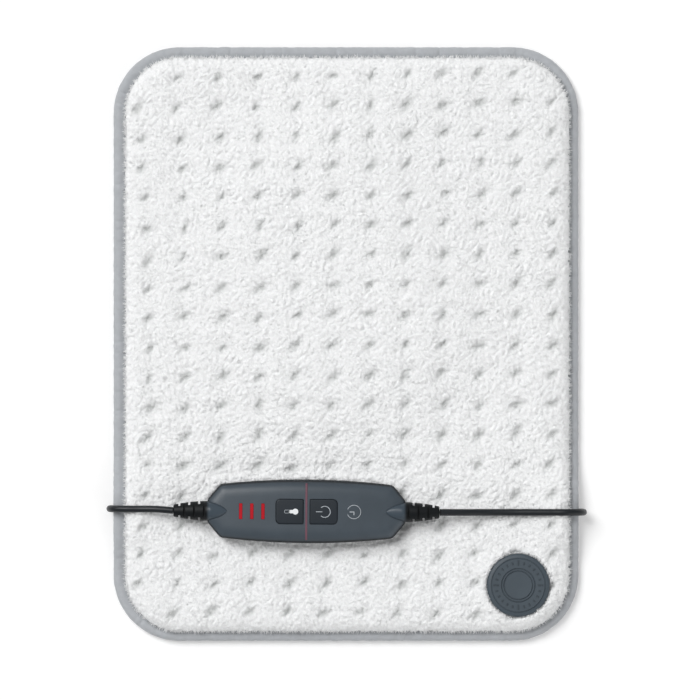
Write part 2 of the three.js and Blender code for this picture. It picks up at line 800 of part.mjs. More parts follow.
function socketContact(place) {
  const start = SOCKET_FACE + PAD_NOSE_LENGTH + 2 * CLEARANCE;
  const y = CONNECTOR_Y + place * CONTACT_PITCH;
  return box(
    start - CONTACT_LENGTH,
    start - CLEARANCE,
    y - CONTACT_WIDTH / 2,
    y + CONTACT_WIDTH / 2,
    NOSE_MIDDLE - CONTACT_WIDTH / 2,
    NOSE_MIDDLE + CONTACT_WIDTH / 2,
  );
}

function connectorScrew([x, y]) {
  const low = SOCKET_BOTTOM + CLEARANCE;
  const head = post(SCREW_HEAD, x, y, low, low + SCREW_HEAD_HEIGHT - CLEARANCE, 8);
  const shaft = post(SCREW_SHAFT, x, y, low, CAP_BOTTOM - CLEARANCE, 8);
  return join(head, shaft);
}

// The plug's own body, its ribbed tail and the nose that enters the socket
function padPlug() {
  const back = PLUG_SEAT + CORD_DIAMETER / 2 - PAD_PLUG_LENGTH;
  const low = CONNECTOR_Y - PAD_PLUG_WIDTH / 2;
  const high = CONNECTOR_Y + PAD_PLUG_WIDTH / 2;
  const round = PAD_PLUG_WIDTH / 4;
  const outline = new THREE.Shape();
  outline.moveTo(back + round, low);
  outline.lineTo(PLUG_SEAT + CORD_DIAMETER / 2, low);
  outline.lineTo(PLUG_SEAT + CORD_DIAMETER / 2, high);
  outline.lineTo(back + round, high);
  outline.quadraticCurveTo(back, high, back, high - round);
  outline.lineTo(back, low + round);
  outline.quadraticCurveTo(back, low, back + round, low);
  const body = new THREE.ExtrudeGeometry(outline, {
    depth: PAD_PLUG_TOP - PAD_PLUG_BOTTOM,
    bevelEnabled: false,
    curveSegments: 4,
  }).translate(0, 0, PAD_PLUG_BOTTOM);
  const nose = box(
    PLUG_SEAT,
    SOCKET_FACE + PAD_NOSE_LENGTH,
    CONNECTOR_Y - PAD_NOSE_WIDTH / 2,
    CONNECTOR_Y + PAD_NOSE_WIDTH / 2,
    NOSE_MIDDLE - PAD_NOSE_HEIGHT / 2,
    NOSE_MIDDLE + PAD_NOSE_HEIGHT / 2,
  );
  const tail = rod(
    PAD_PLUG_TOP - PAD_PLUG_BOTTOM - CLEARANCE,
    back - PAD_PLUG_RELIEF,
    back + CORD_DIAMETER,
    CONNECTOR_Y,
    NOSE_MIDDLE,
  );
  const pockets = [-1, 0, 1].map((place) =>
    box(
      SOCKET_FACE + PAD_NOSE_LENGTH - CONTACT_LENGTH,
      SOCKET_FACE + PAD_NOSE_LENGTH + OVERRUN,
      CONNECTOR_Y + place * CONTACT_PITCH - CONTACT_WIDTH / 2 - CLEARANCE,
      CONNECTOR_Y + place * CONTACT_PITCH + CONTACT_WIDTH / 2 + CLEARANCE,
      NOSE_MIDDLE - CONTACT_WIDTH / 2 - CLEARANCE,
      NOSE_MIDDLE + CONTACT_WIDTH / 2 + CLEARANCE,
    ),
  );
  return cut(join(body, nose, tail), ...pockets);
}

// Controller, drawn about its own middle with its base at zero

// Half the case outline on the far side, from the right end to the left one
function caseSide(inset) {
  const end = CASE_LENGTH / 2 - inset;
  const shoulder = CASE_LENGTH / 2 - CASE_CHAMFER;
  const endRound = CASE_CHAMFER / 7;
  const shoulderRound = CASE_CHAMFER / 3;
  const points = [
    [end, CASE_END / 2 - inset / 2],
    [end - endRound, CASE_END / 2 + endRound - inset / 2],
    [shoulder + endRound - inset / 2, CASE_SHOULDER / 2 - endRound - inset],
    [shoulder - shoulderRound - inset / 2, CASE_SHOULDER / 2 - inset],
  ];
  const bulgeShares = [0.72, 0.52, 0.26];
  for (const share of bulgeShares) {
    const bulge = CASE_WIDTH / 2 - ((CASE_WIDTH - CASE_SHOULDER) / 2) * share * share;
    points.push([shoulder * share, bulge - inset]);
  }
  points.push([0, CASE_WIDTH / 2 - inset]);
  const mirrored = points
    .slice(0, -1)
    .reverse()
    .map(([x, y]) => [-x, y]);
  return [...points, ...mirrored];
}

// A case body through outlines, each with its inset and height; the top falls towards the ends
function caseBody(levels, crowned) {
  const top = levels[levels.length - 1][1];
  const start = levels[0][1];
  const rings = levels.map(([inset, height]) => {
    const side = caseSide(inset);
    const outline = [...side, ...[...side].reverse().map(([x, y]) => [x, -y])];
    const share = crowned ? (height - start) / (top - start) : 0;
    return outline.map(([x, y]) => {
      const along = x / (CASE_LENGTH / 2);
      return [x, y, height - share * CASE_DROP * along * along];
    });
  });
  const count = rings[0].length;
  const index = [];
  for (let k = 0; k + 1 < rings.length; k += 1) {
    for (let i = 0; i < count; i += 1) {
      const j = (i + 1) % count;
      const low = k * count;
      const high = low + count;
      index.push(low + i, low + j, high + j, low + i, high + j, high + i);
    }
  }
  const last = (rings.length - 1) * count;
  for (let i = 0; i + 1 < count / 2; i += 1) {
    const a = i;
    const b = i + 1;
    const c = count - 2 - i;
    const d = count - 1 - i;
    index.push(a, c, b, a, d, c);
    index.push(last + a, last + b, last + c, last + a, last + c, last + d);
  }
  const geometry = new THREE.BufferGeometry();
  geometry.setAttribute("position", new THREE.Float32BufferAttribute(rings.flat(2), 3));
  geometry.setIndex(index);
  return geometry;
}

// The upper case's outer form, sunk by a depth
function upperForm(depth, start) {
  const round = CASE_HEIGHT - PARTING;
  const roundShares = [0.35, 0.68, 0.9, 1];
  const insetShares = [0.04, 0.16, 0.42, 0.95];
  const levels = roundShares.map((share, k) => [
    round * insetShares[k] + depth,
    PARTING + round * share - depth,
  ]);
  return caseBody([[depth, start], ...levels], true);
}

function lowerForm(depth, top) {
  return caseBody(
    [
      [CASE_WALL + depth, depth],
      [CASE_WALL / 3 + depth, CASE_WALL / 2 + depth],
      [depth, 2 * CASE_WALL + depth],
      [depth, top],
    ],
    false,
  );
}

// Height of the upper case's top at a place along it
function caseTop(x) {
  const along = x / (CASE_LENGTH / 2);
  return CASE_HEIGHT - CASE_DROP * along * along;
}

// Stations along a strain relief, each with its place, half width, half height and the power of its
// section: an ogive nose that stands out of the case's top, then a round tail that tapers
function bootStations() {
  const noseShares = [0.03, 0.1, 0.22, 0.44, 0.74, 1];
  const rise = BOOT_AXIS + BOOT_ROOT_RADIUS - caseTop(BOOT_NOSE_END);
  const nose = noseShares.map((share) => {
    const x = BOOT_NOSE_END - (BOOT_NOSE_END - BOOT_TIP) * (1 - share);
    const width = BOOT_NOSE_RADIUS * (1 - (1 - share) ** 2) ** NOSE_SHARPNESS;
    return [x, width, caseTop(x) + rise * share - BOOT_AXIS, NOSE_POWER - share];
  });
  return [
    ...nose,
    [CASE_LENGTH / 2 + CASE_WALL, BOOT_ROOT_RADIUS, BOOT_ROOT_RADIUS, ROUND_POWER],
    [BOOT_END, BOOT_END_RADIUS, BOOT_END_RADIUS, ROUND_POWER],
  ];
}

// A strain relief along X on the side given, grown by a clearance where it is cut away
function bootForm(side, grow) {
  const stations = bootStations();
  const signedPower = (value, power) => Math.sign(value) * Math.abs(value) ** (2 / power);
  const rings = stations.map(([x, width, height, power], k) => {
    const outer = k === 0 ? -grow : k === stations.length - 1 ? grow : 0;
    const ring = [];
    for (let i = 0; i < BOOT_SIDES; i += 1) {
      const angle = (2 * Math.PI * i * side) / BOOT_SIDES;
      const across = signedPower(Math.cos(angle), power) * (width + grow);
      const up = signedPower(Math.sin(angle), power) * (height + grow);
      ring.push([side * (x + outer), across, BOOT_AXIS + up]);
    }
    return ring;
  });
  return skinned(rings);
}

// Slots in the sides alternate with slots above and below, so that the strain relief bends every way
function boot(side) {
  const reach = BOOT_ROOT_RADIUS + OVERRUN;
  const slots = [];
  for (let k = 0; k < BOOT_SLOTS; k += 1) {
    const x = side * (BOOT_END - BOOT_SLOT_FROM_END - BOOT_SLOT_PITCH * k);
    const next = x - (side * BOOT_SLOT_PITCH) / 2;
    const half = BOOT_SLOT_WIDTH / 2;
    for (const [inner, outer] of [[BOOT_CORE, reach], [-reach, -BOOT_CORE]]) {
      slots.push(box(x - half, x + half, inner, outer, BOOT_AXIS - reach, BOOT_AXIS + reach));
      slots.push(box(next - half, next + half, -reach, reach, BOOT_AXIS + inner, BOOT_AXIS + outer));
    }
  }
  return cut(bootForm(side, 0), ...slots);
}

function screwPlaces() {
  const places = [];
  for (const x of [-SCREW_X, SCREW_X]) {
    for (const y of [-SCREW_Y, SCREW_Y]) {
      places.push([x, y]);
    }
  }
  return places;
}

function buttonOutline(x, roundSide, grow) {
  const left = x - BUTTON_LENGTH / 2 - grow;
  const right = x + BUTTON_LENGTH / 2 + grow;
  const half = BUTTON_WIDTH / 2 + grow;
  const soft = 2.9;
  const crisp = 0.6;
  const leftRound = (roundSide < 0 ? soft : crisp) + grow;
  const rightRound = (roundSide > 0 ? soft : crisp) + grow;
  const shape = new THREE.Shape();
  shape.moveTo(left + leftRound, -half);
  shape.lineTo(right - rightRound, -half);
  shape.absarc(right - rightRound, -half + rightRound, rightRound, -Math.PI / 2, 0);
  shape.absarc(right - rightRound, half - rightRound, rightRound, 0, Math.PI / 2);
  shape.absarc(left + leftRound, half - leftRound, leftRound, Math.PI / 2, Math.PI);
  shape.absarc(left + leftRound, -half + leftRound, leftRound, Math.PI, (3 * Math.PI) / 2);
  return shape;
}

function upright(shape, z0, z1, curveSegments = 3) {
  const geometry = new THREE.ExtrudeGeometry(shape, { depth: z1 - z0, bevelEnabled: false, curveSegments });
  return geometry.translate(0, 0, z0);
}

const LINE_CUT = LINE_WIDTH / 2 + CLEARANCE / 3;

function upperShell() {
  const start = PARTING + CLEARANCE / 2;
  const outer = upperForm(0, start);
  const inner = upperForm(CASE_WALL, start - OVERRUN);
  const posts = screwPlaces().map(([x, y]) =>
    post(BOSS_DIAMETER, x, y, start, caseTop(SCREW_X) - CASE_WALL / 2, 12),
  );
  const bores = screwPlaces().map(([x, y]) =>
    post(SCREW_SHAFT + 2 * CLEARANCE, x, y, start - OVERRUN, SCREW_TOP + CLEARANCE, 8),
  );
  const windows = [
    upright(buttonOutline(TEMPERATURE_X, -1, CLEARANCE), PARTING, CASE_HEIGHT + OVERRUN),
    upright(buttonOutline(POWER_X, 1, CLEARANCE), PARTING, CASE_HEIGHT + OVERRUN),
    ...levelPlaces().map((x) => levelBox(x, CLEARANCE, OVERRUN)),
  ];
  const lineBox = box(
    -LINE_CUT,
    LINE_CUT,
    -LINE_REACH - CLEARANCE,
    LINE_REACH + CLEARANCE,
    PARTING,
    CASE_HEIGHT + OVERRUN,
  );
  const lineFloor = upperForm(LINE_DEPTH + CLEARANCE, start - OVERRUN);
  const lineGroove = cut(lineBox, lineFloor);
  const hollow = cut(outer, inner);
  return cut(
    join(hollow, ...posts),
    ...bores,
    ...windows,
    lineGroove,
    bootForm(-1, CLEARANCE),
    bootForm(1, CLEARANCE),
  );
}

function accentLine() {
  const start = PARTING + CLEARANCE / 2;
  const strip = box(-LINE_WIDTH / 2, LINE_WIDTH / 2, -LINE_REACH, LINE_REACH, PARTING, CASE_HEIGHT + OVERRUN);
  const cover = common(upperForm(0, start - OVERRUN), strip);
  return cut(cover, upperForm(LINE_DEPTH, start - 2 * OVERRUN));
}

function levelPlaces() {
  return Array.from({ length: LEVELS }, (_, k) => LEVEL_X + k * LEVEL_PITCH);
}

function levelBox(x, grow, over) {
  const top = caseTop(x) - CLEARANCE / 3;
  return box(
    x - LEVEL_WIDTH / 2 - grow,
    x + LEVEL_WIDTH / 2 + grow,
    -LEVEL_LENGTH / 2 - grow,
    LEVEL_LENGTH / 2 + grow,
    top - LEVEL_DEPTH - grow,
    top + over,
  );
}

function levelLight(x) {
  const half = LEVEL_WIDTH / 2;
  const height = 1.2;
  return box(x - half, x + half, -LEVEL_WIDTH, LEVEL_WIDTH, SEAT, SEAT + height);
}

function lowerShell() {
  const top = PARTING - CLEARANCE / 2;
  const outer = lowerForm(0, top);
  const inner = lowerForm(CASE_WALL, top + OVERRUN);
  const bosses = screwPlaces().map(([x, y]) => post(BOSS_DIAMETER, x, y, CASE_WALL / 2, top, 12));
  const rests = [];
  for (const x of [-BOARD_POST_X, BOARD_POST_X]) {
    for (const y of [-BOARD_POST_Y, BOARD_POST_Y]) {
      rests.push(post(BOARD_POST, x, y, CASE_WALL / 2, BOARD_BOTTOM - CLEARANCE, 8));
    }
  }
  const bores = screwPlaces().flatMap(([x, y]) => [
    post(SCREW_SHAFT + 2 * CLEARANCE, x, y, -OVERRUN, top + OVERRUN, 8),
    post(SCREW_HEAD + 2 * CLEARANCE, x, y, -OVERRUN, SCREW_HEAD_HEIGHT + 2 * CLEARANCE, 8),
  ]);
  return cut(
    join(cut(outer, inner), ...bosses, ...rests),
    ...bores,
    bootForm(-1, CLEARANCE),
    bootForm(1, CLEARANCE),
  );
}

function caseScrew([x, y]) {
  const head = post(SCREW_HEAD, x, y, CLEARANCE, CLEARANCE + SCREW_HEAD_HEIGHT, 8);
  const shaft = post(SCREW_SHAFT, x, y, CLEARANCE, SCREW_TOP, 8);
  return join(head, shaft);
}

function circuitBoard() {
  return box(BOARD_LEFT, BOARD_RIGHT, -BOARD_WIDTH / 2, BOARD_WIDTH / 2, BOARD_BOTTOM, BOARD_TOP);
}

const SWITCH_TOP = SEAT + SWITCH_HEIGHT;
const PLUNGER_BOTTOM = SWITCH_TOP - SWITCH_BORE_DEPTH + BUTTON_TRAVEL + CLEARANCE;
const PLUNGER_TOP = PLUNGER_BOTTOM + PLUNGER_LENGTH;

function keySwitch(x) {
  const half = SWITCH_SIZE / 2;
  const body = box(x - half, x + half, -half, half, SEAT, SWITCH_TOP);
  return cut(body, post(SWITCH_BORE, x, 0, SWITCH_TOP - SWITCH_BORE_DEPTH, SWITCH_TOP + OVERRUN));
}

function plunger(x) {
  return post(PLUNGER_DIAMETER, x, 0, PLUNGER_BOTTOM, PLUNGER_TOP);
}

// A cap that stands a little proud, held by its flange, with a stem that meets the switch
function button(x, roundSide) {
  const top = caseTop(x) + BUTTON_PROUD;
  const under = caseTop(TEMPERATURE_X + BUTTON_LENGTH) - CASE_WALL - BUTTON_SKIRT - CLEARANCE;
  const cap = upright(buttonOutline(x, roundSide, 0), under, top, 3);
  const flange = upright(buttonOutline(x, roundSide, BUTTON_FLANGE), under - FLANGE_THICKNESS, under, 2);
  const stem = post(STEM_DIAMETER, x, 0, PLUNGER_TOP + CLEARANCE / 3, under);
  return join(cap, flange, stem);
}

function capacitor() {
  const length = 14;
  const width = 6;
  const height = 5.6;
  const fromRight = 5;
  const x = BOARD_RIGHT - fromRight - length;
  return box(x, x + length, -BOARD_POST_Y + CLEARANCE, -BOARD_POST_Y + width, SEAT, SEAT + height);
}

function fuse() {
  const diameter = 5;
  const fromRight = 3;
  const length = 20;
  const start = BOARD_RIGHT - fromRight - length;
  return rod(diameter, start, start + length, BOARD_POST_Y - CLEARANCE, SEAT + diameter / 2);
}

function triac() {
  const x = LEVEL_X + LEVEL_PITCH;
  const length = 10;
  const width = 5.5;
  const height = 4.4;
  const y = LEVEL_WIDTH + 2 * CLEARANCE;
  return box(x - length / 2, x + length / 2, y, y + width, SEAT, SEAT + height);
}

const TERMINAL_HEIGHT = 5;

function terminal(side) {
  const width = 6.4;
  const length = 6.5;
  const x = side < 0 ? BOARD_LEFT + CLEARANCE : BOARD_RIGHT - CLEARANCE - length;
  const y = side < 0 ? -LEVEL_WIDTH - CLEARANCE - width : -width / 2;
  return box(x, x + length, y, y + width, SEAT, SEAT + TERMINAL_HEIGHT);
}

// Twin leads from a strain relief's nose to its terminal
function leads(side) {
  const lead = 1.1;
  const straight = 1.6;
  const landing = 2;
  const shift = 5.2;
  const bend = 0.6;
  const height = SEAT + TERMINAL_HEIGHT / 2;
  const start = side * (BOOT_TIP - CLEARANCE);
  const points =
    side < 0
      ? [
          [start, 0, BOOT_AXIS],
          [start + straight, 0, BOOT_AXIS],
          [BOARD_LEFT - landing, bend - shift, height],
          [BOARD_LEFT, -shift, height],
        ]
      : [
          [start, 0, BOOT_AXIS],
          [(start + BOARD_RIGHT) / 2, 0, height],
          [BOARD_RIGHT, 0, height],
        ];
  const section = new THREE.Shape();
  section.moveTo(-lead / 2, -lead);
  section.lineTo(lead / 2, -lead);
  section.lineTo(lead / 2, lead);
  section.lineTo(-lead / 2, lead);
  section.closePath();
  return along(points, section, 3);
}

// Cords

function cord(points) {
  return along(points, roundSection(CORD_DIAMETER, CORD_SIDES), 2);
}

// The coil spirals in on the lower layer and out on the upper one, and climbs in the half turn between
function coilAxis() {
  const points = [];
  const steps = Math.round(COIL_TURNS * COIL_STEPS);
  const middle = COIL_TURNS / 2;
  for (let i = 0; i <= steps; i += 1) {
    const turn = (COIL_TURNS * i) / steps;
    const radius = COIL_RADIUS + COIL_PITCH * Math.abs(turn - middle);
    const climb = THREE.MathUtils.clamp((turn - middle) * 2 + 0.5, 0, 1);
    const angle = Math.PI - 2 * Math.PI * turn;
    const x = COIL_X + radius * Math.cos(angle);
    const y = COIL_Y + radius * Math.sin(angle);
    points.push(new THREE.Vector3(x, y, COIL_AXIS + COIL_LAYER * climb));
  }
  points.unshift(points[0].clone().add(new THREE.Vector3(0, -CORD_DIAMETER, 0)));
  points.push(points[points.length - 1].clone().add(new THREE.Vector3(CORD_DIAMETER, 0, 0)));
  return points;
}

function coilRings(axis) {
  const up = new THREE.Vector3(0, 0, 1);
  return axis.map((point, i) => {
    const before = axis[Math.max(i - 1, 0)];
    const after = axis[Math.min(i + 1, axis.length - 1)];
    const way = after.clone().sub(before);
    if (i < 2) {
      way.set(0, 1, 0);
    }
    if (i > axis.length - 3) {
      way.set(1, 0, 0);
    }
    const across = new THREE.Vector3().crossVectors(up, way).normalize();
    const over = new THREE.Vector3().crossVectors(way, across).normalize();
    const ring = [];
    for (let k = 0; k < COIL_SIDES; k += 1) {
      const angle = (2 * Math.PI * k) / COIL_SIDES;
      const spot = point
        .clone()
        .addScaledVector(across, (Math.cos(angle) * CORD_DIAMETER) / 2)
        .addScaledVector(over, (Math.sin(angle) * CORD_DIAMETER) / 2);
      ring.push([spot.x, spot.y, spot.z]);
    }
    return ring;
  });
}

// The least distance between surface points more than half a loop apart along the cord
function leastGap(rings) {
  let least = Infinity;
  rings.forEach((ring, i) => {
    for (let j = i + COIL_STEPS / 2; j < rings.length; j += 1) {
      for (const a of ring) {
        for (const b of rings[j]) {
          least = Math.min(least, Math.hypot(a[0] - b[0], a[1] - b[1], a[2] - b[2]));
        }
      }
    }
  });
  return least;
}

function cordCoil() {
  const rings = coilRings(coilAxis());
  console.log("coil, least gap to itself in mm: " + leastGap(rings).toFixed(2));
  return skinned(rings);
}

function cordTie() {
  const outer = box(
    COIL_X + TIE_IN - TIE_THICKNESS,
    COIL_X + TIE_OUT + TIE_THICKNESS,
    COIL_Y - TIE_WIDTH / 2,
    COIL_Y + TIE_WIDTH / 2,
    TIE_BOTTOM,
    TIE_UP + TIE_THICKNESS,
  );
  const inner = box(
    COIL_X + TIE_IN,
    COIL_X + TIE_OUT,
    COIL_Y - TIE_WIDTH,
    COIL_Y + TIE_WIDTH,
    TIE_BOTTOM + TIE_THICKNESS,
    TIE_UP,
  );
  return cut(outer, inner);
}

// Mains plug

function plugRing(x, width, thickness) {
  const half = width / 2;
  const tall = thickness / 2;
  const flatShare = 0.62;
  const sideShare = 0.35;
  const spots = [
    [half, -tall * sideShare],
    [half, tall * sideShare],
    [half * flatShare, tall],
    [-half * flatShare, tall],
    [-half, tall * sideShare],
    [-half, -tall * sideShare],
    [-half * flatShare, -tall],
    [half * flatShare, -tall],
  ];
  return spots.map(([y, z]) => [x, PLUG_Y + y, PLUG_AXIS + z]);
}

function plugBody() {
  const bodyShares = [
    [0, 1, 1],
    [0.25, 1, 1],
    [0.5, 0.7, 0.9],
    [1, 0.36, 0.88],
  ];
  const rings = bodyShares.map(([along, across, thick]) =>
    plugRing(PLUG_X + PLUG_DEPTH * along, PLUG_WIDTH * across, PLUG_THICKNESS * thick),
  );
  const bores = [-1, 1].map((side) =>
    rod(
      PIN_DIAMETER + 2 * CLEARANCE,
      PLUG_X - OVERRUN,
      PLUG_X + PIN_SEAT + CLEARANCE,
      PLUG_Y + (side * PIN_SPACING) / 2,
      PLUG_AXIS,
    ),
  );
  return cut(skinned(rings), ...bores);
}

function plugRelief() {
  const start = PLUG_X + PLUG_DEPTH + CLEARANCE;
  const end = PLUG_X + PLUG_DEPTH + PLUG_RELIEF;
  const profile = [
    [0, start],
    [PLUG_RELIEF_ROOT, start],
    [PLUG_RELIEF_TIP, end - CLEARANCE],
    [0, end - CLEARANCE],
  ];
  return turned(profile, 12)
    .rotateY(Math.PI / 2)
    .translate(0, PLUG_Y, PLUG_AXIS);
}

function plugPin(side) {
  const y = PLUG_Y + (side * PIN_SPACING) / 2;
  return rod(PIN_DIAMETER, PLUG_X - PIN_REACH, PLUG_X + PIN_SEAT, y, PLUG_AXIS);
}

// Materials

const finishes = {
  pile: { color: 0xe6e7e9, roughness: 1, metalness: 0 },
  backing: { color: 0xd2d4d7, roughness: 1, metalness: 0 },
  fleece: { color: 0xc9c6bd, roughness: 1, metalness: 0 },
  binding: { color: 0xb4b6b9, roughness: 0.8, metalness: 0 },
  wire: { color: 0xb85a3c, roughness: 0.5, metalness: 0 },
  shell: { color: 0x4a5258, roughness: 0.5, metalness: 0 },
  key: { color: 0x34383f, roughness: 0.45, metalness: 0 },
  red: { color: 0xae212d, roughness: 0.35, metalness: 0 },
  line: { color: 0x9a3b48, roughness: 0.5, metalness: 0 },
  rubber: { color: 0x16181b, roughness: 0.7, metalness: 0 },
  cord: { color: 0x2a2f33, roughness: 0.6, metalness: 0 },
  disc: { color: 0x4d555c, roughness: 0.5, metalness: 0 },
  board: { color: 0x2f6b45, roughness: 0.6, metalness: 0 },
  black: { color: 0x1c1c1e, roughness: 0.5, metalness: 0 },
  cream: { color: 0xe8e0c8, roughness: 0.5, metalness: 0 },
  blue: { color: 0x2f63a8, roughness: 0.5, metalness: 0 },
  copper: { color: 0xc08a4a, roughness: 0.35, metalness: 1 },
  steel: { color: 0xb8bcc0, roughness: 0.35, metalness: 1 },
};

function piece(name, geometry, finish) {
  geometry.computeVertexNormals();
  const mesh = new THREE.Mesh(geometry, new THREE.MeshStandardMaterial(finishes[finish]));
  mesh.name = name;
  return mesh;
}

// Assembly

const pad = new THREE.Group();
pad.add(
  piece("front_cover", frontCover(), "pile"),
  piece("back_cover", backCover(), "backing"),
  piece("edge_binding", edgeBinding(), "binding"),
  piece("heating_carrier", heatingCarrier(), "fleece"),
  piece("heating_wire", heatingWire(), "wire"),
  piece("thermal_cutout", thermalCutout(), "cream"),
  piece("connector_cap", connectorCap(), "disc"),
  piece("connector_socket", connectorSocket(), "disc"),
);
[-1, 0, 1].forEach((place, k) => {
  pad.add(piece("socket_contact_" + (k + 1), socketContact(place), "copper"));
});
connectorScrewPlaces().forEach((place, k) => {
  pad.add(piece("connector_screw_" + (k + 1), connectorScrew(place), "steel"));
});

const controller = new THREE.Group();
controller.position.set(CASE_X, CASE_Y, CASE_BOTTOM);
controller.rotation.z = THREE.MathUtils.degToRad(CASE_TURN);
controller.add(
  piece("upper_shell", upperShell(), "shell"),
  piece("lower_shell", lowerShell(), "shell"),
  piece("accent_line", accentLine(), "line"),
  piece("temperature_button", button(TEMPERATURE_X, -1), "key"),
  piece("power_button", button(POWER_X, 1), "key"),
  piece("temperature_plunger", plunger(TEMPERATURE_X), "cream"),
  piece("power_plunger", plunger(POWER_X), "cream"),
  piece("temperature_switch", keySwitch(TEMPERATURE_X), "black"),
  piece("power_switch", keySwitch(POWER_X), "black"),
  piece("circuit_board", circuitBoard(), "board"),
  piece("capacitor", capacitor(), "blue"),
  piece("fuse", fuse(), "cream"),
  piece("triac", triac(), "black"),
  piece("mains_terminal", terminal(-1), "board"),
  piece("pad_terminal", terminal(1), "board"),
  piece("mains_leads", leads(-1), "cream"),
  piece("pad_leads", leads(1), "cream"),
  piece("mains_boot", boot(-1), "rubber"),
  piece("pad_boot", boot(1), "rubber"),
);
levelPlaces().forEach((x, k) => {
  controller.add(
    piece("level_window_" + (k + 1), levelBox(x, 0, 0), "red"),
    piece("level_light_" + (k + 1), levelLight(x), "cream"),
  );
});
screwPlaces().forEach((place, k) => {
  controller.add(piece("case_screw_" + (k + 1), caseScrew(place), "steel"));
});

const cords = new THREE.Group();
cords.add(
  piece("connecting_cord", cord(CONNECTING_ROUTE), "cord"),
  piece("pad_plug", padPlug(), "rubber"),
  piece("mains_cord", cord(MAINS_ROUTE), "cord"),
  piece("mains_cord_coil", cordCoil(), "cord"),
  piece("mains_cord_tail", cord(TAIL_ROUTE), "cord"),
  piece("cord_tie", cordTie(), "black"),
  piece("mains_plug", plugBody(), "rubber"),
  piece("plug_relief", plugRelief(), "rubber"),
  piece("plug_pin_1", plugPin(-1), "steel"),
  piece("plug_pin_2", plugPin(1), "steel"),
);

const heatingPad = new THREE.Group();
heatingPad.add(pad, controller, cords);

export default heatingPad;
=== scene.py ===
"""Heating pad with an in-line controller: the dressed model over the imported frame."""
import json
import math
from functools import partial

import bmesh
import bpy
import numpy as np
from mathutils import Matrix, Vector


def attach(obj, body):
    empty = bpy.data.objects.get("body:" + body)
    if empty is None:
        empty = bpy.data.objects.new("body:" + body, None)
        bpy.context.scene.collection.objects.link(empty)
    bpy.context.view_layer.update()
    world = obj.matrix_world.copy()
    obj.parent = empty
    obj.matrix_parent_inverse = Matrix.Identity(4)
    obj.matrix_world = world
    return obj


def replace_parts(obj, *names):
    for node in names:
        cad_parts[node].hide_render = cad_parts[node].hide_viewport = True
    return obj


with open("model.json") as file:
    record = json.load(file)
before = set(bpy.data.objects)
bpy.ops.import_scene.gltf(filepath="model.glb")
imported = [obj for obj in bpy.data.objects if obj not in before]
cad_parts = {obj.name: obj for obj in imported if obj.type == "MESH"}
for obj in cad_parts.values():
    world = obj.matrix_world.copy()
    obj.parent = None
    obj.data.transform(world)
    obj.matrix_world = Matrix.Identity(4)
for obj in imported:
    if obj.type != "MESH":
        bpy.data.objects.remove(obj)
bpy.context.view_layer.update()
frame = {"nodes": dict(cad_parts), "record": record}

# Lengths are in millimetres, and places in plan are complex numbers, x + 1j * y

MM = 0.001
SEED = 7
BASE = "pad_and_case"
TEMPERATURE_KEY = "temperature_key"
POWER_KEY = "power_key"

# Camera and floor
PHOTO_MIDDLE = (2.67, -4.0)
PHOTO_WIDTH = 466.7
CAMERA_HEIGHT = 6000
FLOOR_REACH = 3000

# Pad
PAD_WIDTH = 310
PAD_LENGTH = 396
PAD_CORNER = 44
CROWN_TOP = 18
CROWN_RISE = 12
# Clumps of the pile: their size, seed and depth
CLUMPS = [(7.5, 2, 0.48), (3.6, 3, 0.34)]
PILE_FROM_LEFT = 8
PILE_FROM_RIGHT = 6.3
PILE_FROM_TOP = 7.2
PILE_FROM_BOTTOM = 6.7
PILE_START = 8.2
PILE_BASE = 7.2
LAYER_TOP = 11.3
# Underside of the pile: how far each ring is drawn in, and how far it has risen
UNDERSIDE = [(1, 0), (0.99, 0.35), (0.98, 0.7), (0.97, 1), (0.85, 1), (0.8, 1), (0.7, 1), (0.3, 1)]
BACK_EDGE = 6.5
BACK_TUCK = 2.4
BACK_CLOTH = 0.5
CARRIER_INSET = 17.5
CARRIER_LEVEL = 8.4
CARRIER_HOLE = 14
CARRIER_CLOTH = 0.6
BINDING_WIDTH = 9
BINDING_BOTTOM = 1
BINDING_TOP = 8
BINDING_TAPE = 0.8
BINDING_EDGE = [(BINDING_WIDTH, 6.6), (8, 6.95), (7, 7.3), (6, 7.62), (5, 7.88), (4.2, 7.98)]
WRINKLES = 120

# Tufts; the bends are coefficients of a smooth shift over the pad
TUFT_COLUMNS = 12
TUFT_ROWS = 19
TUFT_PITCH_X = 25.1
TUFT_PITCH_Y = 19.9
TUFT_SHIFT_X = 0.6
TUFT_SHIFT_Y = 0.3
TUFT_BEND_X = [(-1.9, 15.3, -9.7), (-0.3, -11.6, 9.8), (-0.5, 8.4, -15.0), (0.5, -4.9, 7.5)]
TUFT_BEND_Y = [(0.2, -11.0, 22.7, -12.7), (-1.0, 9.0, -10.9, 5.7), (-1.8, 14.1, -37.5, 26.0)]
TUFT_JITTER = 0.7
TUFT_TURN = 44
TUFT_REACH = 16
SLOT_LENGTH = 4.1
SLOT_WIDTH = 2.1
SLOT_DEPTH = 2.5
DIP_WIDTH = 7.5
DIP_DEPTH = 1.3

# Fibres that stand out of the pile: their number and length
OPEN_FIBRES = (15000, 2.0)
RIM_FIBRES = (5500, 2.3)
CAP_FIBRES = (900, 1.7)

# Connector
CONNECTOR = 114.7 - 160.6j
CAP_RADIUS = 21
CAP_TOP = 20
CAP_SIDE = [
    (12, 8.9), (12, 15.4), (20.8, 15.4), (21, 15.7), (21, 18.2), (20.8, 18.8), (20.3, 19.3), (19.5, 19.6),
    (18.6, 19.75),
]
CAP_GROOVES = [17.9, 11.1, 9.5]
CAP_TICKS = 24

# Lift of the pad over what is stored under it
DOME_HEIGHT = 7.4
DOME_RADIUS = 34
DOME_FALL = 72
DOME_END = 8 + 18j
BUMP_HEIGHT = 6
BUMP_RADIUS = 8
BUMP_FALL = 32
BUMPS = [-155 - 110.7j, 155 - 112j]
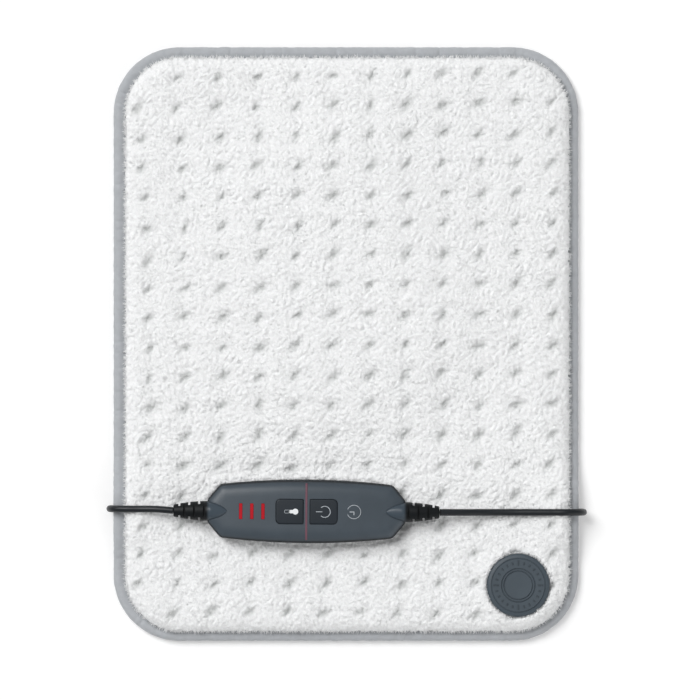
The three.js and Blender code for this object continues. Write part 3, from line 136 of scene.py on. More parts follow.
# Hollows in the back cloth: their height, reach and fall, those of the plugs after their place
COIL_HOLLOW = (12.2, 42, 9)
PLUG_HOLLOWS = [(7.5 + 18j, 14.3, (42.5, 18), 8), (78 - 160.6j, 8.7, (18, 11.3), 5)]

# Controller, from its own middle and base
CASE = -26.3 - 111.3j
CASE_Z = 18.3
CASE_TURN = math.radians(-0.4)
CASE_LENGTH = 131
CASE_WIDTH = 41.7
CASE_SHOULDER = 35
CASE_END = 14.7
CASE_CHAMFER = 8.3
CASE_HEIGHT = 17
CASE_DROP = 3.5
CASE_POINTS = 240
CASE_SHARES = [
    0, 0.0005, 0.002, 0.005, 0.012, 0.025, 0.045, 0.075, 0.12, 0.18, 0.26, 0.36, 0.48, 0.62, 0.8, 1,
]
PARTING = 8.5
SEAM = 0.15
UPPER_EDGE = PARTING + SEAM + 0.25
LOWER_EDGE = PARTING - SEAM - 1.3
LOWER_PROUD = 0.35
CUT_LOW = 12
CUT_HIGH = 25
KEY_GAP = 0.28
TEMPERATURE_X = -11.1
POWER_X = 11.5
BUTTON_LENGTH = 18.2
BUTTON_WIDTH = 16.4
BUTTON_PROUD = 0.6
# Levels of a key and of a lens: how far each is drawn in, and its height from the top
KEY_LEVELS = [(0, -3.2), (0, -0.55), (0.06, -0.32), (0.2, -0.14), (0.42, -0.03), (0.75, 0)]
LEVEL_PLACES = [-43.6, -36.2, -28.8]
LEVEL_WIDTH = 2.2
LEVEL_LENGTH = 10.4
LEVEL_GAP = 0.1
LENS_LEVELS = [(0, -2.85), (0, -0.2), (0.12, -0.05)]
LINE_SEEN = 1.3
LINE_REACH = 18.9
LINE_THICKNESS = 0.3
PRINT_THICKNESS = 0.08
PRINT_PROUD = 0.03
TIMER_THICKNESS = 0.3
TIMER_PROUD = 0.05
SCREWS = [-50 - 11j, -50 + 11j, 50 - 11j, 50 + 11j]
SCREW_HEAD = 5
BOOT_AXIS = 9
BOOT_GAP = 0.2
BOOT_NOSE = 11.7
BOOT_NOSE_END = 64.5
# Strain reliefs: the radius at places along X, and slots with the half width of their core
BOOT_RIBS = [
    (66.5, 6.55), (69, 6.55), (74.2, 6.2), (80.9, 5.35), (85, 4.6), (87, 4.3), (88, 4), (88.4, 3.4),
    (88.4, 0.02),
]
BOOT_SLOTS = [(84.5, 3.1), (77.9, 3.8), (71.3, 4.5)]
BOOT_SLOT_PITCH = 6.6
BOOT_SLOT_WIDTH = 1.4
BOOT_REACH = 9

# Cords, plugs and tie
CORD_DIAMETER = 4.6
COIL = -15 + 80j
COIL_PITCH = 5.1
COIL_LAYER = 4.9
COIL_RADIUS = 17.2
COIL_TURNS = 8.25
COIL_AXIS = 3.7
COIL_STEPS = 72
MAINS_PLUG = (18, 7.15)
MAINS_PLUG_BODY = [
    (-16, 15.9, 5.4, 4), (-15.8, 16.6, 6.1, 4), (-15, 17.3, 6.6, 4), (-13, 17.6, 6.8, 4), (-6, 17.6, 6.85, 4),
    (-1, 17.2, 6.85, 3.6), (4, 15.7, 6.8, 3.2), (9, 12.9, 6.6, 3), (14, 9.6, 6.3, 2.8), (17.5, 7.4, 6, 2.6),
    (19.5, 6.5, 5.7, 2.4), (20, 6, 5.3, 2.4),
]
PAD_PLUG = (CONNECTOR.imag, 4.6)
TIE_LEFT = -0.8
TIE_RIGHT = 26.24
TIE_LOW = 0.7
TIE_HIGH = 11.6
TIE_CORNER = 2.4
TIE_HALF = 3.95

# Cord routes along the frame's solids
CONNECTING_ROUTE = [
    (62.41, -111.92, 27.3), (78, -112, 25.6), (94, -112, 22.7), (110, -112, 21.9), (124, -112, 22.5),
    (137, -112, 23.1), (147.75, -112, 23.3), (155.17, -112, 20.22), (158.25, -112, 12.8), (155.17, -112, 5.6),
    (147.75, -112, 2.75), (128, -112, 2.4), (103, -112, 2.4), (78, -112, 2.4), (53, -112, 2.4),
    (28, -112, 2.4), (3, -112, 2.4), (-22, -112, 2.4), (-46, -112.5, 2.4), (-65, -118, 2.4),
    (-76, -134, 2.4), (-68, -152, 2.4), (-50, -160, 2.4), (-26, -160.6, 2.4), (-1, -160.6, 2.4),
    (24, -160.6, 2.8), (43, -160.6, 4.3), (60.5, -160.6, 4.6),
]
MAINS_ROUTE = [
    (-115.01, -110.68, 27.3), (-126, -109.8, 26.2), (-137, -109.7, 24.4), (-147.75, -109.7, 23.3),
    (-154.5, -109.7, 20.22), (-157.3, -109.7, 12.8), (-154.5, -109.7, 5.6), (-147.75, -109.7, 2.75),
    (-128, -109.7, 2.4), (-107, -107, 2.4), (-84, -96, 2.4), (-66, -76, 2.4), (-57, -52, 2.4),
    (-54, -28, 2.4), (-53.24, -4, 2.4), (-53.24, 20, 2.4), (-53.24, 44, 2.8), (-53.24, 60, 3.4),
    (-53.24, 70, 3.65), (-53.24, 75.1, 3.7),
]
TAIL_ROUTE = [
    (-10.1, 118.24, 8.6), (8, 117, 8.2), (28, 110, 7.2), (47, 96, 6), (61, 76, 5), (67, 54, 5), (67, 36, 6),
    (62, 24, 6.7), (55.5, 18.3, 7.1), (48.5, 18, 7.15),
]


# Materials

def linear(color, factor=1):
    """A colour written as 0 to 255 in the photograph, times a factor, as the shader takes it."""
    shares = [value / 255 for value in color]
    straight = [s / 12.92 if s <= 0.04045 else ((s + 0.055) / 1.055) ** 2.4 for s in shares]
    return *[min(s * factor, 1) for s in straight], 1


class Surface:
    """A material in the making, with its nodes, their links and its shader."""

    def __init__(self, name):
        self.material = bpy.data.materials.new(name)
        self.material.use_nodes = True
        self.nodes = self.material.node_tree.nodes
        self.links = self.material.node_tree.links
        self.shader = self.nodes["Principled BSDF"]

    def feed(self, node, inputs):
        """Sets a node's inputs, and links those for which an output is given."""
        for name, value in inputs.items():
            if isinstance(value, bpy.types.NodeSocket):
                self.links.new(value, node.inputs[name])
            else:
                node.inputs[name].default_value = value
        return node

    def add(self, kind, inputs=None, **settings):
        node = self.nodes.new("ShaderNode" + kind)
        for name, value in settings.items():
            setattr(node, name, value)
        return self.feed(node, inputs or {})

    def shade(self, inputs):
        self.feed(self.shader, inputs)
        return self

    def noise(self, scale, detail, distortion=0):
        """A noise over object coordinates, with its features about 1 / scale metres apart."""
        inputs = {"Vector": self.add("TexCoord").outputs["Object"], "Scale": scale}
        inputs |= {"Detail": detail, "Roughness": 0.6, "Distortion": distortion}
        return self.add("TexNoise", inputs).outputs["Fac"]

    def tint(self, color, low, high, along):
        """A colour that runs from low to high times the given one, along a noise."""
        ramp = self.add("ValToRGB", {"Fac": along})
        for element, position, factor in zip(ramp.color_ramp.elements, (0.35, 0.65), (low, high)):
            element.position = position
            element.color = linear(color, factor)
        return ramp.outputs["Color"]

    def relief(self, height, strength, depth):
        """The normals of a bump with its depth in millimetres."""
        inputs = {"Height": height, "Strength": strength, "Distance": depth * MM}
        return self.add("Bump", inputs).outputs["Normal"]

    def times(self, a, b):
        return self.add("Math", {0: a, 1: b}, operation="MULTIPLY").outputs["Value"]

    def blend(self, share, low, high):
        return self.add("Mix", {"Factor": share, "A": low, "B": high}, data_type="RGBA").outputs["Result"]

    def ranged(self, value, low, high, start=0, end=1, way="LINEAR"):
        """A value that runs from low to high as the given one runs from start to end."""
        inputs = {"Value": value, "From Min": start, "From Max": end, "To Min": low, "To Max": high}
        return self.add("MapRange", inputs, interpolation_type=way).outputs["Result"]

    def color(self):
        return self.shader.inputs["Base Color"].links[0].from_socket


def plain_surface(name, color, roughness, specular=0.5, grain=2500, depth=0.02, metallic=0, mottle=60,
                  spread=0.06):
    """Moulded plastic, rubber or metal: a fine grain in its relief and a faint mottle in its colour."""
    surface = Surface(name)
    return surface.shade({
        "Roughness": roughness,
        "Metallic": metallic,
        "Specular IOR Level": specular,
        "Base Color": surface.tint(color, 1 - spread, 1 + spread, surface.noise(mottle, 4)),
        "Normal": surface.relief(surface.noise(grain, 2), 0.5, depth),
    })


def cloth_surface(name, color, thread, depth, low, high, sheen=0.2, roughness=0.9):
    """Cloth: crossed threads in its relief and a soft variation in its colour."""
    surface = Surface(name)
    place = surface.add("TexCoord").outputs["Object"]
    threads = {"Vector": place, "Scale": 1 / (thread * MM) / 20, "Distortion": 1.5, "Detail": 1}
    waves = [surface.add("TexWave", threads, bands_direction=way).outputs["Fac"] for way in "XY"]
    return surface.shade({
        "Roughness": roughness,
        "Sheen Weight": sheen,
        "Specular IOR Level": 0.2,
        "Base Color": surface.tint(color, low, high, surface.noise(220, 5)),
        "Normal": surface.relief(surface.times(*waves), 0.6, depth),
    })


def pile_surface():
    """Fluffy pile: matt, with fine curls in its relief and painted grey shade in its tuft hollows."""
    surface = Surface("sherpa_pile")
    curls = surface.noise(900, 6, 1)
    painted_hollow_shade = surface.add("Attribute", attribute_name="painted_hollow_shade").outputs["Fac"]
    white = surface.tint((249, 250, 251), 0.89, 1.05, curls)
    return surface.shade({
        "Roughness": 1,
        "Sheen Weight": 0.1,
        "Specular IOR Level": 0.05,
        # Painted shade: the white turns grey where the tuft slots sink in
        "Base Color": surface.blend(painted_hollow_shade, white, linear((196, 198, 197))),
        "Normal": surface.relief(curls, 0.9, 0.6),
    })


def shell_surface():
    """Case plastic with a fine grain, rougher on its steep sides, and darker there by painted shade."""
    surface = plain_surface("case_plastic", (63, 72, 80), 0.4, 0.42, 2200, 0.015)
    normal = surface.add("NewGeometry").outputs["Normal"]
    up = surface.add("SeparateXYZ", {"Vector": normal}).outputs["Z"]
    level = surface.ranged(up, 0, 1, 0.35, 0.85, "SMOOTHSTEP")
    return surface.shade({
        "Roughness": surface.ranged(level, 0.85, 0.4),
        # Painted shade: the colour darkens to a near black as the surface turns steep
        "Base Color": surface.blend(level, linear((24, 29, 34)), surface.color()),
    })


def boot_surface():
    """Strain relief rubber: near black on its ribs and lighter on its polished nose."""
    surface = plain_surface("boot_rubber", (5, 9, 13), 0.5, 0.24, 1500)
    nose = surface.add("Attribute", attribute_name="nose").outputs["Fac"]
    return surface.shade({
        "Roughness": surface.ranged(nose, 0.5, 0.3),
        "Base Color": surface.blend(nose, surface.color(), linear((64, 74, 83))),
    })


SURFACES = {
    "pile": pile_surface(),
    "backing": cloth_surface("back_cloth", (214, 216, 219), 0.6, 0.12, 0.96, 1.02),
    "binding": cloth_surface("satin_binding", (172, 175, 179), 0.45, 0.05, 0.95, 1.04, 0.3, 0.6),
    "fleece": cloth_surface("carrier_fleece", (205, 202, 194), 1.2, 0.2, 0.92, 1.03),
    "wire": plain_surface("wire_insulation", (190, 98, 66), 0.5),
    "ceramic_body": plain_surface("cutout_ceramic", (236, 230, 214), 0.3),
    "disc": plain_surface("connector_plastic", (64, 74, 82), 0.5, 0.4, 1800),
    "contact": plain_surface("contact_brass", (205, 172, 108), 0.3, metallic=1),
    "steel": plain_surface("zinc_steel", (200, 203, 206), 0.35, metallic=1),
    "shell": shell_surface(),
    "accent": plain_surface("accent_red", (114, 76, 88), 0.5, 0.3),
    "key": plain_surface("key_plastic", (31, 38, 45), 0.42, 0.3, 2200, 0.015),
    "plunger": plain_surface("plunger_plastic", (226, 220, 200), 0.5),
    "dark_plastic": plain_surface("dark_plastic", (44, 44, 47), 0.5),
    "board": plain_surface("board_mask", (48, 112, 72), 0.4, mottle=400, spread=0.2),
    "capacitor_case": plain_surface("capacitor_case", (54, 106, 176), 0.3),
    "fuse_body": plain_surface("fuse_ceramic", (236, 230, 214), 0.3),
    "terminal": plain_surface("terminal_plastic", (74, 128, 86), 0.5),
    "lead": plain_surface("lead_insulation", (222, 218, 204), 0.5),
    "rubber_boot": boot_surface(),
    "red_light": plain_surface("light_lens", (177, 11, 28), 0.3, 0.3),
    "light_chip": plain_surface("light_chip", (240, 236, 224), 0.4),
    "cord": plain_surface("cord_sheath", (18, 23, 28), 0.38, 0.4, 1200, 0.015),
    "plug_rubber": plain_surface("plug_rubber", (38, 41, 45), 0.55, 0.5, 1500, 0.04),
    "tie": cloth_surface("tie_strap", (40, 41, 44), 0.5, 0.15, 0.8, 1.2),
    "pin": plain_surface("nickel_pin", (205, 205, 200), 0.22, metallic=1),
}
MATERIALS = {slot: surface.material for slot, surface in SURFACES.items()}
PRINT = plain_surface("print_white", (225, 228, 230), 0.5).material
SOFT_PRINT = plain_surface("print_grey", (170, 176, 182), 0.5).material
# Painted shade: the ticks are darker than the cap, in place of the shade on raised lettering
SHADED_TICKS = plain_surface("cap_ticks_painted_shade", (54, 63, 70), 0.45, 0.4).material


# Objects

def new_object(name, data):
    obj = bpy.data.objects.new(name, data)
    bpy.context.scene.collection.objects.link(obj)
    return obj


def place(obj, slot, body=BASE, material=None):
    obj.data.materials.clear()
    obj.data.materials.append(material or MATERIALS[slot])
    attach(obj, body)
    return obj


def mesh_object(name, points, faces, slot, body=BASE, material=None, smooth=True):
    mesh = bpy.data.meshes.new(name)
    mesh.from_pydata((np.asarray(points, float) * MM).tolist(), [], faces)
    if smooth:
        mesh.shade_smooth()
    return place(new_object(name, mesh), slot, body, material)


def smooth_by_angle(obj, degrees):
    """Smooth shading with edges kept crisp where faces meet at more than the angle."""
    mesh = bmesh.new()
    mesh.from_mesh(obj.data)
    for edge in mesh.edges:
        edge.smooth = len(edge.link_faces) == 2 and edge.calc_face_angle(0) <= math.radians(degrees)
    for face in mesh.faces:
        face.smooth = True
    mesh.to_mesh(obj.data)
    mesh.free()
    return obj


def skin(name, rings, slot, body=BASE, crisp=None, loop=False, caps=True, flip=False):
    """An object from rings of points joined one to the next, and the last to the first in a loop."""
    number = np.arange(rings.shape[0] * rings.shape[1]).reshape(rings.shape[:2])
    low = number if loop else number[:-1]
    high = np.roll(number, -1, 0) if loop else number[1:]
    sides = np.stack([low, np.roll(low, -1, 1), np.roll(high, -1, 1), high], -1)
    faces = sides.reshape(-1, 4).tolist()
    if caps and not loop:
        faces += [number[0][::-1].tolist(), number[-1].tolist()]
    if flip:
        faces = [face[::-1] for face in faces]
    obj = mesh_object(name, rings.reshape(-1, 3), faces, slot, body)
    return smooth_by_angle(obj, crisp) if crisp else obj


def final_mesh(obj):
    return bpy.data.meshes.new_from_object(obj.evaluated_get(bpy.context.evaluated_depsgraph_get()))


def apply_modifiers(obj):
    mesh = final_mesh(obj)
    obj.modifiers.clear()
    obj.data = mesh


def thicken(piece, thickness):
    """Gives a sheet its thickness, on the side away from its normals."""
    thick = piece.modifiers.new("thickness", "SOLIDIFY")
    thick.thickness = thickness * MM
    thick.offset = -1
    apply_modifiers(piece)


def carve(obj, cutters):
    """Cuts the cutters out of obj and deletes them."""
    for cutter in cutters:
        modifier = obj.modifiers.new("cut", "BOOLEAN")
        modifier.operation = "DIFFERENCE"
        modifier.solver = "EXACT"
        modifier.object = cutter
    bpy.context.view_layer.update()
    apply_modifiers(obj)
    for cutter in cutters:
        bpy.data.objects.remove(cutter)
    return smooth_by_angle(obj, 35)


def mark(piece, name, values):
    """Keeps a value for each point of a piece, which its material reads."""
    attribute = piece.data.attributes.new(name, "FLOAT", "POINT")
    attribute.data.foreach_set("value", values.astype(np.float32))


def add_spline(curve, points):
    spline = curve.splines.new("POLY")
    spline.points.add(len(points) - 1)
    for spot, point in zip(spline.points, points):
        spot.co = (*[value * MM for value in point], 1)
    return spline


# Points and outlines

def at_height(plan, height):
    """Points over places in plan, at one height or each at its own."""
    return np.stack(np.broadcast_arrays(plan.real, plan.imag, height), -1)


def on_case(plan, height):
    """Points given about the controller's middle, turned and moved to where it lies."""
    return at_height(CASE + np.array(plan) * np.exp(1j * CASE_TURN), CASE_Z + np.array(height))


def circle(middle, radius, count=48):
    return middle + radius * np.exp(2j * math.pi * np.arange(count) / count)


def loft(stations, y, z, count=48):
    """Plan and heights of rings along X, from places with half width, half height and squareness."""
    x, half_width, half_height, square = np.array(stations).T[:, :, None]
    ring = circle(0, 1, count)
    across, up = (np.sign(v) * np.abs(v) ** (2 / square) for v in (ring.real, ring.imag))
    return x + 1j * (y + half_width * across), z + half_height * up


def catmull(points, per_stretch):
    """Points of a centripetal Catmull-Rom curve through the given ones."""
    def between(a, b, start, end):
        return ((end - t) * a + (t - start) * b) / (end - start)

    points = [np.array(point, float) for point in points]
    ends = [2 * points[0] - points[1], *points, 2 * points[-1] - points[-2]]
    out = []
    for a, b, c, d in zip(ends, ends[1:], ends[2:], ends[3:]):
        t1 = math.sqrt(math.dist(a, b))
        t2 = t1 + math.sqrt(math.dist(b, c))
        t3 = t2 + math.sqrt(math.dist(c, d))
        for t in t1 + (t2 - t1) * np.arange(per_stretch) / per_stretch:
            before = between(between(a, b, 0, t1), between(b, c, t1, t2), 0, t2)
            after = between(between(b, c, t1, t2), between(c, d, t2, t3), t1, t3)
            out.append(between(before, after, t1, t2))
    return [*out, points[-1]]


def rounded(corners, steps=8):
    """A closed outline through corners of place and radius, each rounded by an arc."""
    t = np.arange(steps + 1) / steps
    arcs = []
    for k, (here, radius) in enumerate(corners):
        before = corners[k - 1][0] - here
        after = corners[(k + 1) % len(corners)][0] - here
        half = abs(np.angle(before / after)) / 2
        run = min(radius / math.tan(half), abs(before) * 0.48, abs(after) * 0.48)
        start = here + before / abs(before) * run
        end = here + after / abs(after) * run
        arcs.append((start * (1 - t) + here * t) * (1 - t) + (here * (1 - t) + end * t) * t)
    return np.concatenate(arcs)


def box(x, half_x, half_y, left, right, steps):
    """A rectangle about x, its corners rounded by one radius on the left and one on the right."""
    half = half_x + 1j * half_y
    corners = [(half.conjugate(), right), (half, right), (-half.conjugate(), left), (-half, left)]
    return x + rounded(corners, steps)


def key_outline(x, round_side, grow):
    """A key's outline: soft corners on its outer side and crisp ones towards the other key."""
    left, right = (0.9 + grow, 3.4 + grow)[::round_side]
    return box(x, BUTTON_LENGTH / 2 + grow, BUTTON_WIDTH / 2 + grow, left, right, 8)


def level_outline(x, grow):
    return box(x, LEVEL_WIDTH / 2 + grow, LEVEL_LENGTH / 2 + grow, 0.5, 0.5, 4)


def case_outline():
    """The case's outline, as places an even distance apart from the middle of its right end."""
    end = CASE_LENGTH / 2
    shoulder = end - CASE_CHAMFER
    side = [(end + 0.5j * CASE_END, 2.5), (shoulder + 0.5j * CASE_SHOULDER, 5)]
    for share in (0.8, 0.6, 0.4, 0.2, 0):
        bulge = CASE_WIDTH / 2 - (CASE_WIDTH - CASE_SHOULDER) / 2 * share ** 2
        side.append((shoulder * share + 1j * bulge, 30))
    upper = [*side, *[(-corner.conjugate(), radius) for corner, radius in reversed(side[:-1])]]
    lower = [(corner.conjugate(), radius) for corner, radius in reversed(upper)]
    closed = np.array([end, *rounded([*upper, *lower]), end])
    lengths = np.append(0, np.cumsum(np.abs(np.diff(closed))))
    return np.interp(lengths[-1] * np.arange(CASE_POINTS) / CASE_POINTS, lengths, closed)


def drawn_in(outline, width):
    before = outline - np.roll(outline, 1)
    after = np.roll(outline, -1) - outline
    way = before / np.abs(before) + after / np.abs(after)
    normal = 1j * way / np.abs(way)
    outwards = (normal * (outline.mean() - outline).conj()).real < 0
    return outline + np.where(outwards, -normal, normal) * width


def distance_to(outline, places):
    step = np.roll(outline, -1) - outline
    away = places[:, None] - outline
    share = (away * step.conj()).real / np.abs(step) ** 2
    return np.abs(away - np.clip(share, 0, 1) * step).min(1)


# Camera, floor and light

def make_camera():
    camera = bpy.data.cameras.new("camera")
    camera.sensor_width = 36
    camera.lens = camera.sensor_width * CAMERA_HEIGHT / PHOTO_WIDTH
    camera.clip_end = 20
    obj = new_object("camera", camera)
    obj.location = (PHOTO_MIDDLE[0] * MM, PHOTO_MIDDLE[1] * MM, (CAMERA_HEIGHT + BINDING_TOP) * MM)
    bpy.context.scene.camera = obj


def make_floor():
    """A pale floor that the camera sees as white, with the object's shadow on it."""
    mesh = bpy.data.meshes.new("floor")
    corners = at_height(np.array([-1 - 1j, 1 - 1j, 1 + 1j, -1 + 1j]) * FLOOR_REACH * MM, 0)
    mesh.from_pydata(corners.tolist(), [], [(0, 1, 2, 3)])
    surface = Surface("floor_white")
    seen = surface.add("LightPath").outputs["Is Camera Ray"]
    surface.shade({
        "Roughness": 1,
        "Specular IOR Level": 0,
        "Base Color": surface.blend(seen, (0.95, 0.95, 0.95, 1), (0.77, 0.77, 0.77, 1)),
        "Emission Color": (1, 1, 1, 1),
        "Emission Strength": surface.times(seen, 0.26),
    })
    mesh.materials.append(surface.material)
    new_object("floor", mesh)


def make_light():
    world = bpy.context.scene.world or bpy.data.worlds.new("world")
    bpy.context.scene.world = world
    world.use_nodes = True
    background = world.node_tree.nodes["Background"]
    background.inputs["Color"].default_value = (1, 1, 1, 1)
    background.inputs["Strength"].default_value = 0.36
    for name, kind, power, width, way in (
            ("key", "SUN", 1.9, math.radians(32), (0.56, -0.54, -1)),
            ("fill", "SUN", 0.8, math.radians(60), (-0.75, 0.75, -0.4)),
            ("panel", "AREA", 5, 0.6, (0.5, -0.45, -2))):
        light = bpy.data.lights.new(name, kind)
        light.energy = power
        setattr(light, "angle" if kind == "SUN" else "size", width)
        obj = new_object(name, light)
        obj.location = -Vector(way)
        obj.rotation_euler = Vector(way).to_track_quat("-Z", "Y").to_euler()


# Cords

def cord_curve(name, points):
    curve = bpy.data.curves.new(name, "CURVE")
    curve.dimensions = "3D"
    curve.bevel_depth = CORD_DIAMETER / 2 * MM
    curve.bevel_resolution = 5
    curve.use_fill_caps = True
    add_spline(curve, points).use_smooth = True
    return place(new_object(name, curve), "cord")


def coil_points():
    """In on the lower layer and out on the upper one, climbing in the half turn between."""
    steps = round(COIL_TURNS * COIL_STEPS)
    turn = COIL_TURNS * np.arange(steps + 1) / steps
    past = turn - COIL_TURNS / 2
    radius = COIL_RADIUS + COIL_PITCH * np.abs(past)
    height = COIL_AXIS + COIL_LAYER * np.clip(past * 2 + 0.5, 0, 1)
    return at_height(COIL - radius * np.exp(-2j * math.pi * turn), height)


def cord_length(points):
    return sum(math.dist(a, b) for a, b in zip(points, points[1:])) * MM


def make_cords():
    connecting = catmull(CONNECTING_ROUTE, 12)
    piece = cord_curve("connecting_lead", connecting)
    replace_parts(piece, "connecting_cord")
    [v * MM for v in CONNECTING_ROUTE[0]]
    round(cord_length(connecting), 2)
    mains = [*catmull(MAINS_ROUTE, 12), *coil_points(), *catmull(TAIL_ROUTE, 12)]
    piece = cord_curve("mains_lead", mains)
    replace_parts(piece, "mains_cord", "mains_cord_coil", "mains_cord_tail")
    [v * MM for v in MAINS_ROUTE[0]]
    round(cord_length(mains), 2)


# Pad

def eased(distance, radius, fall):
    """1 as far as the radius, and from there softly down to 0 over the fall."""
    return (1 + np.cos(np.pi * np.clip((distance - radius) / fall, 0, 1))) / 2


def lift(plan):
    """How high the pad's underside is raised by what lies under it."""
    spine = DOME_END - COIL
    share = np.clip(((plan - COIL) * spine.conjugate()).real / abs(spine) ** 2, 0, 1)
    height = DOME_HEIGHT * eased(np.abs(plan - COIL - share * spine), DOME_RADIUS, DOME_FALL)
    for bump in BUMPS:
        height = height + BUMP_HEIGHT * eased(np.abs(plan - bump), BUMP_RADIUS, BUMP_FALL)
    return height


def inset(plan):
    """Distance inwards from the pad's outline."""
    past_x = np.abs(plan.real) - (PAD_WIDTH / 2 - PAD_CORNER)
    past_y = np.abs(plan.imag) - (PAD_LENGTH / 2 - PAD_CORNER)
    outside = np.hypot(np.maximum(past_x, 0), np.maximum(past_y, 0))
    return PAD_CORNER - outside - np.minimum(np.maximum(past_x, past_y), 0)


def inwards(plan):
    """Direction in which the inset grows."""
    small = 0.01
    return sum(way * (inset(plan + small * way) - inset(plan - small * way)) for way in (1, 1j)) / (2 * small)


def band_noise(shape, step, size, seed):
    """Even noise with features of one size, on a grid of the given step, from -1 to 1 or so."""
    random = np.random.default_rng(SEED + seed)
    field = np.fft.rfft2(random.standard_normal(shape))
    waves = np.hypot(np.fft.rfftfreq(shape[1], step), np.fft.fftfreq(shape[0], step)[:, None])
    result = np.fft.irfft2(field * np.exp(-((waves * size - 1) ** 2) / 0.18), s=shape)
    return result / (2 * result.std())


def pile_inset(plan):
    """How far inside the outline the pile begins."""
    way = inwards(plan)
    beside = np.where(way.real > 0, PILE_FROM_LEFT, PILE_FROM_RIGHT)
    beyond = np.where(way.imag > 0, PILE_FROM_BOTTOM, PILE_FROM_TOP)
    return beside * way.real ** 2 + beyond * way.imag ** 2


def pad_sheet(step, edge=None):
    """A grid over the pad and which of it is used, with the rim's points moved to an inset or the pile's."""
    across = np.linspace(-PAD_WIDTH / 2, PAD_WIDTH / 2, round(PAD_WIDTH / step) + 1)
    up = np.linspace(-PAD_LENGTH / 2, PAD_LENGTH / 2, round(PAD_LENGTH / step) + 1)
    plan = across + 1j * up[:, None]
    if edge is None:
        edge = pile_inset(plan) + 0.55 * band_noise(plan.shape, step, 3.6, 1)
    short = np.maximum(edge - inset(plan), 0)
    return plan + inwards(plan) * short, short < 0.75 * step


def sheet_object(name, plan, height, used, slot, flip=False):
    """The used points of a grid as a sheet, face up, or face down where flipped."""
    number = np.cumsum(used.ravel()).reshape(used.shape) - 1
    j, i = np.nonzero(used[:-1, :-1] & used[1:, :-1] & used[:-1, 1:] & used[1:, 1:])
    corners = [number[j, i], number[j, i + 1], number[j + 1, i + 1], number[j + 1, i]]
    faces = np.stack(corners[::-1] if flip else corners, 1).tolist()
    return mesh_object(name, at_height(plan, height)[used], faces, slot)


def bend(coefficients, across, up):
    """A smooth shift over the pad, from its coefficients for the powers of both shares."""
    return sum(c * across ** i * up ** j for i, row in enumerate(coefficients) for j, c in enumerate(row))


def tuft_places():
    """Tufts on their grid, whose columns and rows bend a little with the cloth."""
    random = np.random.default_rng(SEED)
    for row in range(TUFT_ROWS):
        up = row / (TUFT_ROWS - 1)
        for column in range(TUFT_COLUMNS):
            if column in (0, TUFT_COLUMNS - 1) and row in (0, TUFT_ROWS - 1):
                continue
            across = 2 * column / (TUFT_COLUMNS - 1) - 1
            x = TUFT_SHIFT_X + across * (TUFT_COLUMNS - 1) / 2 * TUFT_PITCH_X + bend(TUFT_BEND_X, across, up)
            y = TUFT_SHIFT_Y + (row - (TUFT_ROWS - 1) / 2) * TUFT_PITCH_Y + bend(TUFT_BEND_Y, across, up)
            turn = np.exp(1j * math.radians(TUFT_TURN + random.normal(0, 15)))
            size = random.uniform(0.8, 1.2)
            yield x + random.normal(0, TUFT_JITTER) + 1j * (y + random.normal(0, TUFT_JITTER)), turn, size


def tuft_relief(plan, spread):
    """Hollows at the tufts, from 0 to 1: a short slanting slot and a wide shallow dip round it."""
    slots = np.zeros(plan.shape)
    dips = np.zeros(plan.shape)
    for tuft, turn, size in tuft_places():
        away = plan - tuft
        near = np.maximum(np.abs(away.real), np.abs(away.imag)) < TUFT_REACH
        away = away[near]
        slot = away / turn / size
        slots[near] += np.exp(-(slot.real / SLOT_LENGTH) ** 2 - (slot.imag / SLOT_WIDTH) ** 2)
        dips[near] += np.exp(-(np.abs(away) / spread) ** 2)
    return slots, dips


def close_under(piece):
    """Closes the pile's sheet by a rim and an underside over the heating layer."""
    mesh = bmesh.new()
    mesh.from_mesh(piece.data)
    edges = [edge for edge in mesh.edges if edge.is_boundary]
    for shrink, level in UNDERSIDE:
        made = bmesh.ops.extrude_edge_only(mesh, edges=edges)["geom"]
        edges = [part for part in made if isinstance(part, bmesh.types.BMEdge) and part.is_boundary]
        for vertex in (part for part in made if isinstance(part, bmesh.types.BMVert)):
            plan = complex(vertex.co.x, vertex.co.y) / MM * shrink
            height = PILE_BASE + (LAYER_TOP - PILE_BASE) * level + lift(plan)
            vertex.co = (plan.real * MM, plan.imag * MM, height * MM)
    bmesh.ops.edgeloop_fill(mesh, edges=edges)
    bmesh.ops.recalc_face_normals(mesh, faces=mesh.faces)
    for face in mesh.faces:
        face.smooth = True
    mesh.to_mesh(piece.data)
    mesh.free()


def strands(name, roots, ways, lengths, thickness):
    """Short tapering fibres from their roots, each bending over along its way."""
    random = np.random.default_rng(SEED + 40)
    count = len(roots)
    ways = ways / np.linalg.norm(ways, axis=1, keepdims=True)
    side = np.cross(ways, random.normal(0, 1, (count, 3)))
    side /= np.linalg.norm(side, axis=1, keepdims=True)
    other = np.cross(ways, side)
    rings = []
    for share, width in ((-0.25, 1.0), (0.5, 0.8)):
        middle = roots + ways * lengths * share + side * lengths * 0.22 * share ** 2
        for way in circle(0, 1, 3):
            rings.append(middle + (side * way.real + other * way.imag) * thickness * width)
    rings.append(roots + ways * lengths + side * lengths * 0.3)
    pattern = [(0, 1, 4, 3), (1, 2, 5, 4), (2, 0, 3, 5), (3, 4, 6), (4, 5, 6), (5, 3, 6)]
    faces = [tuple(7 * n + i for i in face) for n in range(count) for face in pattern]
    return mesh_object(name, np.stack(rings, 1).reshape(-1, 3), faces, "pile")


